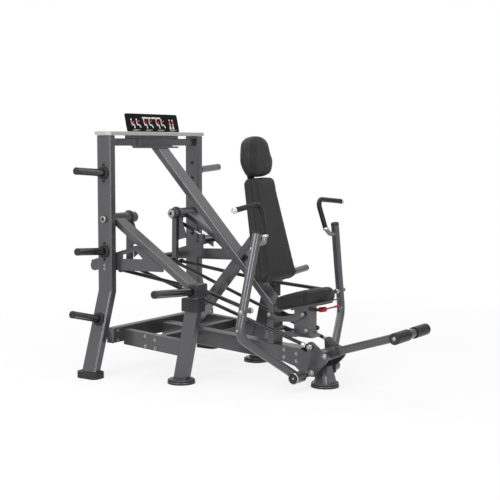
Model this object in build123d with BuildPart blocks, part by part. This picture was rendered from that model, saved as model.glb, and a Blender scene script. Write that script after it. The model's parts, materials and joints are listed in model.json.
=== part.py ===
from build123d import *
import math
import os

# Plate-loaded lever press: two bent rear columns, a diagonal centre brace, a back pad and a height
# adjustable seat, two swinging press arms, two weight arms hung from the columns and a foot lever.
# Frame: +Z up, -Y towards the front, X across, origin on the floor in the centre plane.
# "right" pieces sit on the -X side (the seated user's right hand), "left" pieces on +X.

os.makedirs("parts", exist_ok=True)

SIDES = {"right": -1, "left": 1}

# ---- columns and top ----
COLUMN_X = 490
COLUMN_Y = 947
COLUMN_WIDTH = 60
COLUMN_DEPTH = 122
COLUMN_TOP = 1622
COLUMN_BEND_Z = 572
LEG_SPLAY = 18
LEG_BOTTOM_Z = 34
COLUMN_CORNER = 14
SHOE_SIZE = (116, 176, 46)
SHOE_X = 668
SHOE_CORNER = 38
DOUBLER_SIZE = (76, 150)
DOUBLER_THICKNESS = 3
HORN_Y = 941
TOP_PLATE_SIZE = (1078, 142, 26)
TOP_PLATE_GAP = 4
CROSSBEAM_Z = 1580
CROSSBEAM_SIZE = (50, 50)
SADDLE_HALF = 195
SADDLE_WALL = 5
SADDLE_PLATE = (330, 150, 12)
SADDLE_PLATE_Y = 915
SPACER_HALF = 275
PANEL_SIZE = (574, 128, 8)
PANEL_LEAN = 12.8
PANEL_CORNER = 14
PANEL_FOOT_Y = 925
PANEL_FLANGE = (420, 34, 8)

COLUMN_OUTER = COLUMN_X + COLUMN_WIDTH / 2

# ---- centre plane tubes ----
TUBE_WIDTH = 120
TUBE_HEIGHT = 50
TUBE_CORNER = 10
BRACE_TOP = (917, 1579)
BRACE_BEND = (-101, 506)
STRUT_LINE = ((614, 284), (1, 1005))
REAR_CROSSBEAM_SIZE = (1136, 60, 104)
REAR_CROSSBEAM_Z = 282
RAIL_SLOPE = 3.4
RAIL_REAR = (831, 262)
CENTRE_BEAM_WIDTH = 100
CENTRE_BEAM_HEIGHT = 108
CENTRE_BEAM_REAR = (827, 254)
CENTRE_BEAM_FRONT_Y = -319
SIDE_RAIL_X = 440
SIDE_RAIL_WIDTH = 50
POST_X = 446
POST_WIDTH = 60
POST_DEPTH = 100
POST_FOOT = (347, 14)
POST_HEAD = (243, 498)
TIE_Y = 551
TIE_SIZE = (50, 56)
TIE_Z = 262
DISC_RADIUS = 92
DISC_HEIGHT = 24
FLANGE_RADIUS = 68
FLANGE_THICKNESS = 6
SIDE_RAIL_HEIGHT = 104
BUMPER_CENTRE = (455, 241)
BUMPER_SIZE = (98, 140, 84)
BUMPER_TOP = 572.5
FRONT_PLATE_THICKNESS = 8
FRONT_LEG_TOP = 140
FRONT_PLATE_OUTER = CENTRE_BEAM_WIDTH / 2 + FRONT_PLATE_THICKNESS
FRONT_PLATE_CORNER = 12
FRONT_FOOT_Y = -487
LEG_BASE = (146, 112)
LEG_TOP_DEPTH = 74
LEG_CORNER = 28
TUBE_EDGE = 8
RAIL_OVERRUN = (30, 60)
RAIL_OUTER = SIDE_RAIL_X + SIDE_RAIL_WIDTH / 2
DISC_TIERS = ((DISC_RADIUS, 0, 11), (DISC_RADIUS - 7, 11, 13), (DISC_RADIUS - 2, 13, DISC_HEIGHT))

# ---- bolts: (Y, Z) of each head on its face ----
PIVOT_BOLT = 16
DOUBLER_BOLT = 8
FRAME_BOLT = 9
DOUBLER_BOLT_Z = (748, 724)
FRONT_PLATE_BOLTS = ((-209, 222), (-209, 172), (-304, 205), (-304, 155))
RAIL_BOLTS = ((635, 284), (635, 217), (552, 266), (548, 210))
CROSSBEAM_BOLT_X = 523
CROSSBEAM_BOLT_Z = (312, 246)
WASHER_THICKNESS = 2
WASHER_RATIO = 1.35
HEAD_RATIO = 0.8

# ---- pivots (Y, Z) ----
WEIGHT_AXIS = (941, 1061)
PRESS_AXIS = (-411, 89)
FOOT_AXIS = (-456, 106)
PRESS_JOINT = (-261, 547)
ARM_JOINT = (952, 700)
EAR_JOINT = (-450, 275)
LINK_JOINT = (952, 715)
DAMPER_LOW = (741, 903)
DAMPER_HIGH = (946, 993)
SEAT_UPPER_REAR = (-97, 446)
SEAT_UPPER_FRONT = (-355, 470)
SEAT_LOWER_REAR = (-126, 343)
SEAT_LOWER_FRONT = (-384, 367)
RELEASE_AXIS = (-402, 490)

# ---- running parts ----
SHAFT_RADIUS = 20
RUNNING_FIT = 0.05
SLEEVE_RADIUS = 37
LINK_HUB = (212, 256)
ARM_SLEEVE = (258, 456)
LEVER_DEPTH = 40
LINK_BAR_X = (242, 254)
PRESS_BAR_X = (260, 272)
LEVER_END_Z = 676
ARM_TUBE_WIDTH = 100
ARM_TUBE_HEIGHT = 46
ARM_ROOT_X = 402
BLOCK_CENTRE = (206, 622)
BLOCK_CENTRE_X = 455
BLOCK_SIZE = (104, 82, 98)
HORN_RADIUS = 25
HORN_TILT = 3.8
WEIGHT_HORN_LENGTH = 385
STORAGE_HORN_LENGTH = 262
HORN_ROOT = 8
HORN_NECK_RADIUS = 23.5
LOW_HORN_TILT = -4
COLLAR_RADIUS = 44
COLLAR_LENGTH = 14
HORN_START = COLLAR_LENGTH + 1
CAP_LENGTH = 12
ROD_RADIUS = 13
PRESS_TUBE_RADIUS = 28
PRESS_ARM_PATH = ((483, -274, 1018), (640, -244, 395), (226, -402, 100))
PRESS_BEND = 95
PRESS_DRUM = (166, 264)
PRESS_DRUM_RADIUS = 37
PRESS_ROD_X = 340
KNEE = (346, 231, 611)
PRESS_EYE_X = 535
FOOT_ROD_FRONT_X = 135
FOOT_ROD_REAR_X = 228
FOOT_ROD_RADIUS = 12
ROD_EYE_RADIUS = 18
STUD_RADIUS = 8
NECK_LENGTH = 14
OPEN_PIVOT_GAP = 0.6
HANDLE_PATH = ((650, -224, 1170), (349, -209, 1198), (374, -261, 1003), (410, -277, 958), (505, -271, 952))
HANDLE_BEND = 50
HANDLE_STAY_BEND = 22
HANDLE_CORE_RADIUS = 12
HANDLE_STAY_RADIUS = 15
GRIP_RADIUS = 17
LEVER_TUBE_START = (-519, 222)
CLAMP_CENTRE = (-537, 208)
EAR_RADIUS = 33
ROLLER_GRIP_X = (45, 218)
ROLLER_CORE_RADIUS = 16
ROLLER_AXIS = (-1090, 407)
LEVER_TUBE_RADIUS = 27
ROLLER_RADIUS = 36.5
FOOT_SHAFT_RADIUS = 14
FOOT_NUT = (19, 7)
LEVER_HEAD_DEPTH = 76
LEVER_HEAD_HEIGHT = 60
LEVER_SOCKET = (96, 66)
LEVER_SOCKET_LENGTH = 76
FOOT_PLATE_X = (108, 120)

# ---- cushions: (Y, Z) of a point on the rear or lower face, then half width and height along the pad ----
SOFT_GAP = 0.5
PAD_REAR = (9.4, 983.4)
PAD_LEAN = 12.3
PAD_TOP = (128, 359)
PAD_BOTTOM = (208, -336)
PAD_THICKNESS = 96
PAD_CORNER = 40
PAD_EDGE = 28
BOARD_SIZE = (200, 560, 12)
HEAD_REAR = (109.2, 1478.3)
HEAD_LEAN = 9
HEAD_OUTLINE = ((95, -128), (140, -38), (106, 95), (46, 128))
HEAD_THICKNESS = 103
HEAD_CORNER = 45
HEAD_EDGES = (12, 32)
HEAD_PLATE = (81, 77)
STEM_SIZE = (70, 10)
STEM_PATH = ((57, 1150), (97, 1330), (118, 1412), (129, 1560))
SEAT_BASE = (-379, 535)
SEAT_TILT = 13.5
SEAT_OUTLINE = ((50, -190), (157, -110), (150, -50), (145, 213))
SEAT_THICKNESS = 76
SEAT_FRONT_CORNER = 60
SEAT_REAR_CORNER = 80
SEAT_EDGE = 22
SEAT_BOARD = (230, 300, 8)
SEAT_RIB = (40, 12)

# ---- seat linkage ----
CARRIAGE_Y = (-282, -388)
CARRIAGE_LOW = 318
CARRIAGE_HALF = 55
SEAT_LINK_X = (62, 70)
SEAT_LINK_WIDTH = 34
SEAT_PIN_RADIUS = 8
RELEASE_X = 40
RELEASE_EAR = (8, 13)
RELEASE_BEND = (-460, 500)
RELEASE_PIN_RADIUS = 4
RELEASE_ROD_RADIUS = 5
RELEASE_TIP = (-556, 530)

# ---- lever brackets ----
BRACKET_INNER = 452
BRACKET_OUTER = COLUMN_X - COLUMN_WIDTH / 2
STOP_BAR = (1092, 731)
STOP_RADIUS = 25
STOP_INNER = 290
SHELF_INNER = 300
SHELF_Y = (710, 772)
SHELF_THICKNESS = 8
SHELF_TOP = 880
WEB_SHORTER = 20
WEB_DROP = 66
DAMPER_X = 318
DAMPER_PIN_RADIUS = 6
DAMPER_TOP_PIN = 5
DAMPER_EYE = (15, 10)
DAMPER_ROD_RADIUS = 6
DAMPER_ROD_REACH = 128
DAMPER_BODY = (78, 196)
DAMPER_BODY_RADIUS = 14
DAMPER_BORE = 100
CLEVIS_HALF = 12
CLEVIS_PLATE = 6
CLEVIS_RADIUS = 13


def save(builder, label):
    """Name the finished piece and write it to its own file."""
    builder.part.label = label
    export_step(builder.part, f"parts/{label}.step")


def span(side, inner, outer):
    """Lower x and thickness of a slab that runs from |x| inner to |x| outer on one side."""
    return min(side * inner, side * outer), abs(outer - inner)


def strip(path, width):
    """Outline of a band of constant width that follows a 2-D path with mitred corners."""
    points = [Vector(*p) for p in path]
    left, right = [], []
    for i, point in enumerate(points):
        before = (point - points[i - 1]).normalized() if i else None
        after = (points[i + 1] - point).normalized() if i < len(points) - 1 else None
        ahead = before or after
        along = ((before or after) + (after or before)).normalized()
        normal = Vector(-along.Y, along.X)
        reach = width / 2 / along.dot(ahead)
        left.append(point + normal * reach)
        right.append(point - normal * reach)
    return [(p.X, p.Y) for p in left + right[::-1]]


def face_from(points):
    """Closed face with straight edges at its true place, inside a sketch."""
    Polygon(*points, align=None)


def long_edges(builder, shortest, axis_half, axis="X"):
    """Straight edges at the two outer faces of an extruded tube."""
    def outer(edge):
        middle = edge.center()
        value = middle.X if axis == "X" else middle.Y
        return edge.length > shortest and abs(abs(value) - axis_half) < 0.1
    return builder.part.edges().filter_by(outer)


def x_plane(x, y=0, z=0):
    """Plane facing +X whose local axes are Y and Z."""
    return Plane(origin=(x, y, z), x_dir=(0, 1, 0), z_dir=(1, 0, 0))


# =============================== frame ===============================

HORN_ROWS = {"top": (COLUMN_X + COLUMN_WIDTH / 2, 1373), "middle": (COLUMN_X + COLUMN_WIDTH / 2, 843)}
LOW_HORN_Z = 386
LEG_OUT = (math.cos(math.radians(LEG_SPLAY)), math.sin(math.radians(LEG_SPLAY)))
LOW_HORN_X = COLUMN_X + (COLUMN_BEND_Z - LOW_HORN_Z) * math.tan(math.radians(LEG_SPLAY)) \
    + COLUMN_WIDTH / 2 / LEG_OUT[0]

LEG_RUN = COLUMN_BEND_Z - LEG_BOTTOM_Z + 60
COLUMN_PATH = ((COLUMN_X, COLUMN_TOP), (COLUMN_X, COLUMN_BEND_Z),
               (COLUMN_X + LEG_RUN * math.tan(math.radians(LEG_SPLAY)), COLUMN_BEND_Z - LEG_RUN))

for name, side in SIDES.items():
    outline = [(side * x, z) for x, z in strip(COLUMN_PATH, COLUMN_WIDTH)]
    with BuildPart() as column:
        with BuildSketch(Plane.XZ.offset(-(COLUMN_Y + COLUMN_DEPTH / 2))):
            face_from(outline)
        extrude(amount=COLUMN_DEPTH)
        with BuildSketch(Plane.XY.offset(LEG_BOTTOM_Z)):
            Rectangle(4 * COLUMN_X, 5 * COLUMN_X)
        extrude(amount=-COLUMN_DEPTH, mode=Mode.SUBTRACT)
        long_corners = column.edges().filter_by(
            lambda e: e.length > 2 * COLUMN_DEPTH and e.geom_type == GeomType.LINE)
        fillet(long_corners, COLUMN_CORNER)
        for row_x, row_z in HORN_ROWS.values():
            with BuildSketch(x_plane(side * row_x, HORN_Y, row_z)):
                RectangleRounded(*DOUBLER_SIZE, DOUBLER_SIZE[0] / 4)
            extrude(amount=side * DOUBLER_THICKNESS)
        low_plane = Plane(origin=(side * LOW_HORN_X, HORN_Y, LOW_HORN_Z), x_dir=(0, 1, 0),
                          z_dir=(side * LEG_OUT[0], 0, LEG_OUT[1]))
        with BuildSketch(low_plane):
            RectangleRounded(*DOUBLER_SIZE, DOUBLER_SIZE[0] / 4)
        extrude(amount=DOUBLER_THICKNESS)
    save(column, f"column_{name}")

with BuildPart() as leg_shoes:
    with BuildSketch():
        with Locations(*[(s * SHOE_X, COLUMN_Y) for s in SIDES.values()]):
            RectangleRounded(SHOE_SIZE[0], SHOE_SIZE[1], SHOE_CORNER)
    extrude(amount=SHOE_SIZE[2])
    fillet(leg_shoes.edges().group_by(Axis.Z)[-1], 6)
    for side in SIDES.values():
        socket = [(side * x, z) for x, z in strip(COLUMN_PATH, COLUMN_WIDTH)]
        with BuildSketch(Plane.XZ.offset(-(COLUMN_Y + COLUMN_DEPTH / 2))):
            face_from(socket)
        extrude(amount=COLUMN_DEPTH, mode=Mode.SUBTRACT)
    with BuildSketch():
        with Locations(*[(s * SHOE_X, COLUMN_Y) for s in SIDES.values()]):
            RectangleRounded(SHOE_SIZE[0], SHOE_SIZE[1], SHOE_CORNER)
    extrude(amount=LEG_BOTTOM_Z)
save(leg_shoes, "leg_shoes")

TOP_PLATE_Z = COLUMN_TOP + TOP_PLATE_GAP
with BuildPart() as top_plate:
    with BuildSketch(Plane.XY.offset(TOP_PLATE_Z)):
        with Locations((0, COLUMN_Y)):
            RectangleRounded(TOP_PLATE_SIZE[0], TOP_PLATE_SIZE[1], 30)
    extrude(amount=TOP_PLATE_SIZE[2])
    fillet(top_plate.edges().group_by(Axis.Z)[-1], 5)
    with BuildSketch(Plane.XY.offset(COLUMN_TOP)):
        with Locations(*[(s * COLUMN_X, COLUMN_Y) for s in SIDES.values()]):
            RectangleRounded(COLUMN_WIDTH - 6, COLUMN_DEPTH - 6, 10)
    extrude(amount=TOP_PLATE_GAP)
save(top_plate, "top_plate")

CROSSBEAM_TOP = CROSSBEAM_Z + CROSSBEAM_SIZE[1] / 2
with BuildPart() as upper_crossbeam:
    with Locations((0, COLUMN_Y, CROSSBEAM_Z)):
        Box(2 * COLUMN_X - COLUMN_WIDTH, CROSSBEAM_SIZE[0], CROSSBEAM_SIZE[1])
    fillet(upper_crossbeam.edges().filter_by(Axis.X), 5)
    with BuildSketch(Plane.XY.offset(CROSSBEAM_TOP)):
        with Locations((0, COLUMN_Y)):
            Rectangle(2 * SPACER_HALF, CROSSBEAM_SIZE[0] - 14)
    extrude(amount=TOP_PLATE_Z - CROSSBEAM_TOP)
save(upper_crossbeam, "upper_crossbeam")

SADDLE_OUTER = CROSSBEAM_SIZE[0] + 2 * SADDLE_WALL
SADDLE_LOW = CROSSBEAM_Z - CROSSBEAM_SIZE[1] / 2 - SADDLE_WALL
BRACE_CUT_Z = SADDLE_LOW - SADDLE_PLATE[2]
with BuildPart() as crossbeam_saddle:
    with Locations((0, COLUMN_Y, CROSSBEAM_Z - SADDLE_WALL / 2)):
        Box(2 * SADDLE_HALF, SADDLE_OUTER, CROSSBEAM_SIZE[1] + SADDLE_WALL)
    with Locations((0, COLUMN_Y, CROSSBEAM_Z)):
        Box(3 * SADDLE_HALF, CROSSBEAM_SIZE[0], CROSSBEAM_SIZE[1], mode=Mode.SUBTRACT)
    with BuildSketch(Plane.XY.offset(BRACE_CUT_Z)):
        with Locations((0, SADDLE_PLATE_Y)):
            Rectangle(SADDLE_PLATE[0], SADDLE_PLATE[1])
    extrude(amount=SADDLE_PLATE[2])
save(crossbeam_saddle, "crossbeam_saddle")

PANEL_BASE_Z = TOP_PLATE_Z + TOP_PLATE_SIZE[2]
panel_plane = Plane(origin=(0, PANEL_FOOT_Y, PANEL_BASE_Z), x_dir=(1, 0, 0),
                    z_dir=(0, -math.cos(math.radians(PANEL_LEAN)), math.sin(math.radians(PANEL_LEAN))))
with BuildPart() as instruction_panel:
    with BuildSketch(panel_plane):
        with Locations((0, PANEL_SIZE[1] / 2 + 1)):
            RectangleRounded(PANEL_SIZE[0], PANEL_SIZE[1], PANEL_CORNER)
    extrude(amount=-PANEL_SIZE[2])
    with Locations((0, PANEL_FOOT_Y + PANEL_FLANGE[1] / 2, PANEL_BASE_Z + PANEL_FLANGE[2] / 2)):
        Box(*PANEL_FLANGE)
    with BuildSketch(Plane.XY.offset(PANEL_BASE_Z)):
        with Locations((0, PANEL_FOOT_Y)):
            Rectangle(2 * PANEL_SIZE[0], 2 * PANEL_SIZE[0])
    extrude(amount=-PANEL_SIZE[1], mode=Mode.SUBTRACT)
save(instruction_panel, "instruction_panel")


def rail_z(y):
    """Height of the sloping base line at depth y."""
    return RAIL_REAR[1] - (RAIL_REAR[0] - y) * math.tan(math.radians(RAIL_SLOPE))


def beam_top(y):
    """Height of the centre beam's upper face at depth y."""
    drop = (CENTRE_BEAM_REAR[0] - y) * math.tan(math.radians(RAIL_SLOPE))
    return CENTRE_BEAM_REAR[1] - drop + CENTRE_BEAM_HEIGHT / 2


brace_outline = strip((BRACE_TOP, BRACE_BEND, (BRACE_BEND[0], beam_top(BRACE_BEND[0]) - TUBE_HEIGHT)),
                      TUBE_HEIGHT)
BEAM_OUTLINE = strip((CENTRE_BEAM_REAR,
                      (CENTRE_BEAM_FRONT_Y, beam_top(CENTRE_BEAM_FRONT_Y) - CENTRE_BEAM_HEIGHT / 2)),
                     CENTRE_BEAM_HEIGHT)
with BuildPart() as main_brace:
    with BuildSketch(Plane.YZ):
        face_from(brace_outline)
    extrude(amount=TUBE_WIDTH / 2, both=True)
    fillet(long_edges(main_brace, 2 * TUBE_HEIGHT, TUBE_WIDTH / 2), TUBE_CORNER)
    with BuildSketch(Plane.XY.offset(BRACE_CUT_Z)):
        with Locations((0, BRACE_TOP[0])):
            Rectangle(2 * TUBE_WIDTH, 4 * TUBE_WIDTH)
    extrude(amount=TUBE_WIDTH, mode=Mode.SUBTRACT)
    with BuildSketch(Plane.YZ):
        face_from(BEAM_OUTLINE)
    extrude(amount=TUBE_WIDTH, both=True, mode=Mode.SUBTRACT)
    for pivot in (SEAT_UPPER_REAR, SEAT_LOWER_REAR):
        with BuildSketch(x_plane(0, *pivot)):
            Circle(SEAT_PIN_RADIUS + 10)
        extrude(amount=TUBE_WIDTH / 2, both=True)
        with BuildSketch(x_plane(0, *pivot)):
            Circle(SEAT_PIN_RADIUS)
        extrude(amount=SEAT_LINK_X[1] + 1, both=True)
        for side in SIDES.values():
            with BuildSketch(x_plane(side * (SEAT_LINK_X[1] + 0.6), *pivot)):
                Circle(SEAT_PIN_RADIUS + 5)
            extrude(amount=side * 6)
save(main_brace, "main_brace")

PAD_PLANE = Plane(origin=(0, *PAD_REAR), x_dir=(1, 0, 0),
                  z_dir=(0, -math.cos(math.radians(PAD_LEAN)), math.sin(math.radians(PAD_LEAN))))
BRACE_AXIS = Vector(BRACE_BEND[0] - BRACE_TOP[0], BRACE_BEND[1] - BRACE_TOP[1]).normalized()
strut_outline = strip(STRUT_LINE, TUBE_HEIGHT)
for label, beyond in (("back_strut", -1), ("rear_strut", 1)):
    shift = Vector(-BRACE_AXIS.Y, BRACE_AXIS.X) * (beyond * 400)
    keep_centre = [(p[0] + shift.X, p[1] + shift.Y) for p in (BRACE_TOP, BRACE_BEND)]
    with BuildPart() as strut:
        with BuildSketch(Plane.YZ):
            face_from(strut_outline)
        extrude(amount=TUBE_WIDTH / 2, both=True)
        fillet(long_edges(strut, 2 * TUBE_HEIGHT, TUBE_WIDTH / 2), TUBE_CORNER)
        with BuildSketch(Plane.YZ):
            face_from(strip(keep_centre, 800 - TUBE_HEIGHT))
        extrude(amount=TUBE_WIDTH, both=True, mode=Mode.INTERSECT)
        with BuildSketch(Plane.YZ):
            face_from(BEAM_OUTLINE)
        extrude(amount=TUBE_WIDTH, both=True, mode=Mode.SUBTRACT)
        with BuildSketch(PAD_PLANE.offset(-BOARD_SIZE[2])):
            Rectangle(2 * TUBE_WIDTH, 2 * COLUMN_X)
        extrude(amount=COLUMN_X, mode=Mode.SUBTRACT)
    save(strut, label)

with BuildPart() as rear_crossbeam:
    with Locations((0, COLUMN_Y - COLUMN_DEPTH / 2 - REAR_CROSSBEAM_SIZE[1] / 2, REAR_CROSSBEAM_Z)):
        Box(*REAR_CROSSBEAM_SIZE)
    fillet(rear_crossbeam.edges().filter_by(Axis.X), TUBE_EDGE)
save(rear_crossbeam, "rear_crossbeam")
CROSSBEAM_FRONT = COLUMN_Y - COLUMN_DEPTH / 2 - REAR_CROSSBEAM_SIZE[1]


def front_of_crossbeam():
    """Cut away whatever reaches into the rear crossbeam."""
    with Locations((0, CROSSBEAM_FRONT + COLUMN_X, COLUMN_X)):
        Box(4 * COLUMN_X, 2 * COLUMN_X, 4 * COLUMN_X, mode=Mode.SUBTRACT)


with BuildPart() as centre_beam:
    with BuildSketch(Plane.YZ):
        face_from(BEAM_OUTLINE)
    extrude(amount=CENTRE_BEAM_WIDTH / 2, both=True)
    fillet(long_edges(centre_beam, 3 * CENTRE_BEAM_HEIGHT, CENTRE_BEAM_WIDTH / 2), TUBE_EDGE)
    front_of_crossbeam()
save(centre_beam, "centre_beam")

POST_OUTLINE = strip((POST_FOOT, POST_HEAD), POST_DEPTH)
POST_BASE_Z = DISC_HEIGHT + FLANGE_THICKNESS
with BuildPart() as base_rails:
    for side in SIDES.values():
        ends = (RAIL_REAR[0] + RAIL_OVERRUN[0], POST_FOOT[0] - RAIL_OVERRUN[1])
        rail = strip([(y, rail_z(y)) for y in ends], SIDE_RAIL_HEIGHT)
        with BuildSketch(x_plane(side * SIDE_RAIL_X)):
            face_from(rail)
        extrude(amount=SIDE_RAIL_WIDTH / 2, both=True)
        with BuildSketch(x_plane(side * SIDE_RAIL_X)):
            face_from(POST_OUTLINE)
        extrude(amount=POST_WIDTH, both=True, mode=Mode.SUBTRACT)
        tie_length = SIDE_RAIL_X - SIDE_RAIL_WIDTH / 2 - CENTRE_BEAM_WIDTH / 2
        with Locations((side * (CENTRE_BEAM_WIDTH / 2 + tie_length / 2), TIE_Y, TIE_Z)):
            Box(tie_length, *TIE_SIZE)
    front_of_crossbeam()
    with Locations((0, (POST_FOOT[0] + POST_HEAD[0]) / 2 - 3 * POST_DEPTH, COLUMN_X)):
        Box(4 * COLUMN_X, 5 * POST_DEPTH, 2 * COLUMN_X, mode=Mode.SUBTRACT)
save(base_rails, "base_rails")

with BuildPart() as mid_posts:
    for side in SIDES.values():
        with BuildSketch(x_plane(side * POST_X)):
            face_from(POST_OUTLINE)
        extrude(amount=POST_WIDTH / 2, both=True)
        with BuildSketch(Plane.XY.offset(POST_BASE_Z)):
            Rectangle(3 * COLUMN_X, 3 * COLUMN_X)
        extrude(amount=-POST_DEPTH, mode=Mode.SUBTRACT)
    fillet(long_edges(mid_posts, 3 * POST_DEPTH, POST_X + POST_WIDTH / 2)
           + long_edges(mid_posts, 3 * POST_DEPTH, POST_X - POST_WIDTH / 2), TUBE_EDGE)
    with BuildSketch(Plane.XY.offset(DISC_HEIGHT)):
        with Locations(*[(s * POST_X, POST_FOOT[0]) for s in SIDES.values()]):
            Circle(FLANGE_RADIUS)
    extrude(amount=FLANGE_THICKNESS)
save(mid_posts, "mid_posts")

with BuildPart() as foot_pads:
    for radius, low, high in DISC_TIERS:
        with BuildSketch(Plane.XY.offset(low)):
            with Locations((POST_X, POST_FOOT[0]), (-POST_X, POST_FOOT[0]), (0, FRONT_FOOT_Y)):
                Circle(radius)
        extrude(amount=high - low)
save(foot_pads, "foot_pads")

BUMPER_LOW = BUMPER_TOP - BUMPER_SIZE[2]
with BuildPart() as rest_bumpers:
    with BuildSketch(Plane.XY.offset(BUMPER_LOW)):
        with Locations(*[(s * BUMPER_CENTRE[0], BUMPER_CENTRE[1]) for s in SIDES.values()]):
            RectangleRounded(BUMPER_SIZE[0], BUMPER_SIZE[1], 22)
    extrude(amount=BUMPER_SIZE[2])
    fillet(rest_bumpers.edges().group_by(Axis.Z)[-1], 6)
    for side in SIDES.values():
        with BuildSketch(x_plane(side * POST_X)):
            face_from(POST_OUTLINE)
        extrude(amount=POST_WIDTH / 2, both=True, mode=Mode.SUBTRACT)
save(rest_bumpers, "rest_bumpers")

FRONT_PLATE = ((-174, 247), (-174, 150), (-291, 120), (-364, 66), (-504, 66), (-539, 92), (-539, 132),
               (-504, 162), (-331, 240))
with BuildPart() as front_bracket:
    for side in SIDES.values():
        with BuildSketch(x_plane(side * (FRONT_PLATE_OUTER - FRONT_PLATE_THICKNESS / 2))):
            face_from(FRONT_PLATE)
        extrude(amount=FRONT_PLATE_THICKNESS / 2, both=True)
    fillet(front_bracket.edges().filter_by(Axis.X), FRONT_PLATE_CORNER)
    with BuildSketch(Plane.XY.offset(DISC_HEIGHT)):
        with Locations((0, FRONT_FOOT_Y)):
            Circle(DISC_RADIUS - 4)
    extrude(amount=FLANGE_THICKNESS)
    with BuildSketch(Plane.XY.offset(DISC_HEIGHT + FLANGE_THICKNESS)):
        with Locations((0, FRONT_FOOT_Y)):
            RectangleRounded(*LEG_BASE, LEG_CORNER)
    with BuildSketch(Plane.XY.offset(FRONT_LEG_TOP)):
        with Locations((0, FRONT_FOOT_Y)):
            RectangleRounded(CENTRE_BEAM_WIDTH, LEG_TOP_DEPTH, LEG_CORNER)
    loft(ruled=True)
    with BuildSketch(x_plane(0, *FOOT_AXIS)):
        Circle(FOOT_SHAFT_RADIUS)
    extrude(amount=FOOT_PLATE_X[1] + 1, both=True)
    for side in SIDES.values():
        with BuildSketch(x_plane(side * (FOOT_PLATE_X[1] + 1), *FOOT_AXIS)):
            RegularPolygon(FOOT_NUT[0], 6)
        extrude(amount=side * FOOT_NUT[1])
    with BuildSketch(x_plane(0, *PRESS_AXIS)):
        Circle(SHAFT_RADIUS)
    extrude(amount=TUBE_WIDTH, both=True, mode=Mode.SUBTRACT)
save(front_bracket, "front_bracket")

with BuildPart() as arm_axle:
    with BuildSketch(x_plane(0, *PRESS_AXIS)):
        Circle(SHAFT_RADIUS)
    extrude(amount=PRESS_DRUM[1] - 1, both=True)
save(arm_axle, "arm_axle")

# =============================== lever brackets, shafts and storage ===============================

BRACKET_OUTLINE = ((1119, 768), (704, 889), (486, 746), (486, 726), (893, 712), (1061, 704), (1119, 704))
BRACKET_WINDOW = ((836, 793), (836, 820), (722, 853), (656, 801))
BRACKET_CORNER = 4
for name, side in SIDES.items():
    plate_x, plate_thickness = span(side, BRACKET_INNER, BRACKET_OUTER)
    with BuildPart() as lever_bracket:
        with BuildSketch(x_plane(plate_x)):
            Polygon(*BRACKET_OUTLINE, align=None)
            Polygon(*BRACKET_WINDOW, align=None, mode=Mode.SUBTRACT)
        extrude(amount=plate_thickness)
        fillet(lever_bracket.edges().filter_by(Axis.X), BRACKET_CORNER)
        with BuildSketch(x_plane(side * SHELF_INNER)):
            with Locations(((SHELF_Y[0] + SHELF_Y[1]) / 2, SHELF_TOP - SHELF_THICKNESS / 2)):
                Rectangle(SHELF_Y[1] - SHELF_Y[0], SHELF_THICKNESS)
        extrude(amount=side * (BRACKET_INNER - SHELF_INNER))
        web_top = SHELF_TOP - SHELF_THICKNESS / 2
        web = ((BRACKET_INNER, web_top), (SHELF_INNER + WEB_SHORTER, web_top), (BRACKET_INNER, web_top - WEB_DROP))
        with BuildSketch(Plane.XZ.offset(-DAMPER_LOW[0])):
            Polygon(*[(side * x, z) for x, z in web], align=None)
        extrude(amount=4, both=True)
        for offset in (-1, 1):
            with BuildSketch(x_plane(side * (DAMPER_X + offset * (CLEVIS_HALF + CLEVIS_PLATE / 2)))):
                with Locations(DAMPER_LOW):
                    Circle(CLEVIS_RADIUS)
                with Locations((DAMPER_LOW[0], (DAMPER_LOW[1] + SHELF_TOP) / 2 - 2)):
                    Rectangle(2 * CLEVIS_RADIUS, DAMPER_LOW[1] - SHELF_TOP + 4)
            extrude(amount=CLEVIS_PLATE / 2, both=True)
        with BuildSketch(x_plane(side * DAMPER_X, *DAMPER_LOW)):
            Circle(DAMPER_PIN_RADIUS)
        extrude(amount=CLEVIS_HALF + CLEVIS_PLATE + 2, both=True)
        for inner, radius, outer in ((STOP_INNER, STOP_RADIUS, BRACKET_INNER),
                                     (BRACKET_INNER, STOP_RADIUS + 9, BRACKET_OUTER)):
            with BuildSketch(x_plane(side * inner, *STOP_BAR)):
                Circle(radius)
            extrude(amount=side * (outer - inner))
    save(lever_bracket, f"lever_bracket_{name}")

SHAFT_STEPS = ((LINK_HUB[0] - 12, LINK_HUB[0] - 6, SHAFT_RADIUS + 10),
               (LINK_HUB[0] - 7, BRACKET_OUTER, SHAFT_RADIUS),
               (ARM_SLEEVE[1] + 1, BRACKET_OUTER, SHAFT_RADIUS + 12))
with BuildPart() as pivot_shafts:
    for side in SIDES.values():
        for start, end, radius in SHAFT_STEPS:
            with BuildSketch(x_plane(side * start, *WEIGHT_AXIS)):
                Circle(radius)
            extrude(amount=side * (end - start))
save(pivot_shafts, "pivot_shafts")


def face_plane(side, x, y, z, rise):
    """Plane on an outward face whose normal rises by the given angle."""
    a = math.radians(rise)
    return Plane(origin=(side * x, y, z), x_dir=(0, 1, 0), z_dir=(side * math.cos(a), 0, math.sin(a)))


def tilted(side, face, tilt):
    """The same plane with its normal tilted further upwards."""
    return face_plane(side, side * face.origin.X, face.origin.Y, face.origin.Z,
                      math.degrees(math.asin(face.z_dir.Z)) + tilt)


def cut_behind(face):
    """Remove what reaches behind the face a horn is welded to."""
    with BuildSketch(face) as blank:
        Circle(3 * COLLAR_RADIUS)
    extrude(blank.sketch, amount=-COLLAR_RADIUS, mode=Mode.SUBTRACT)


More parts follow.
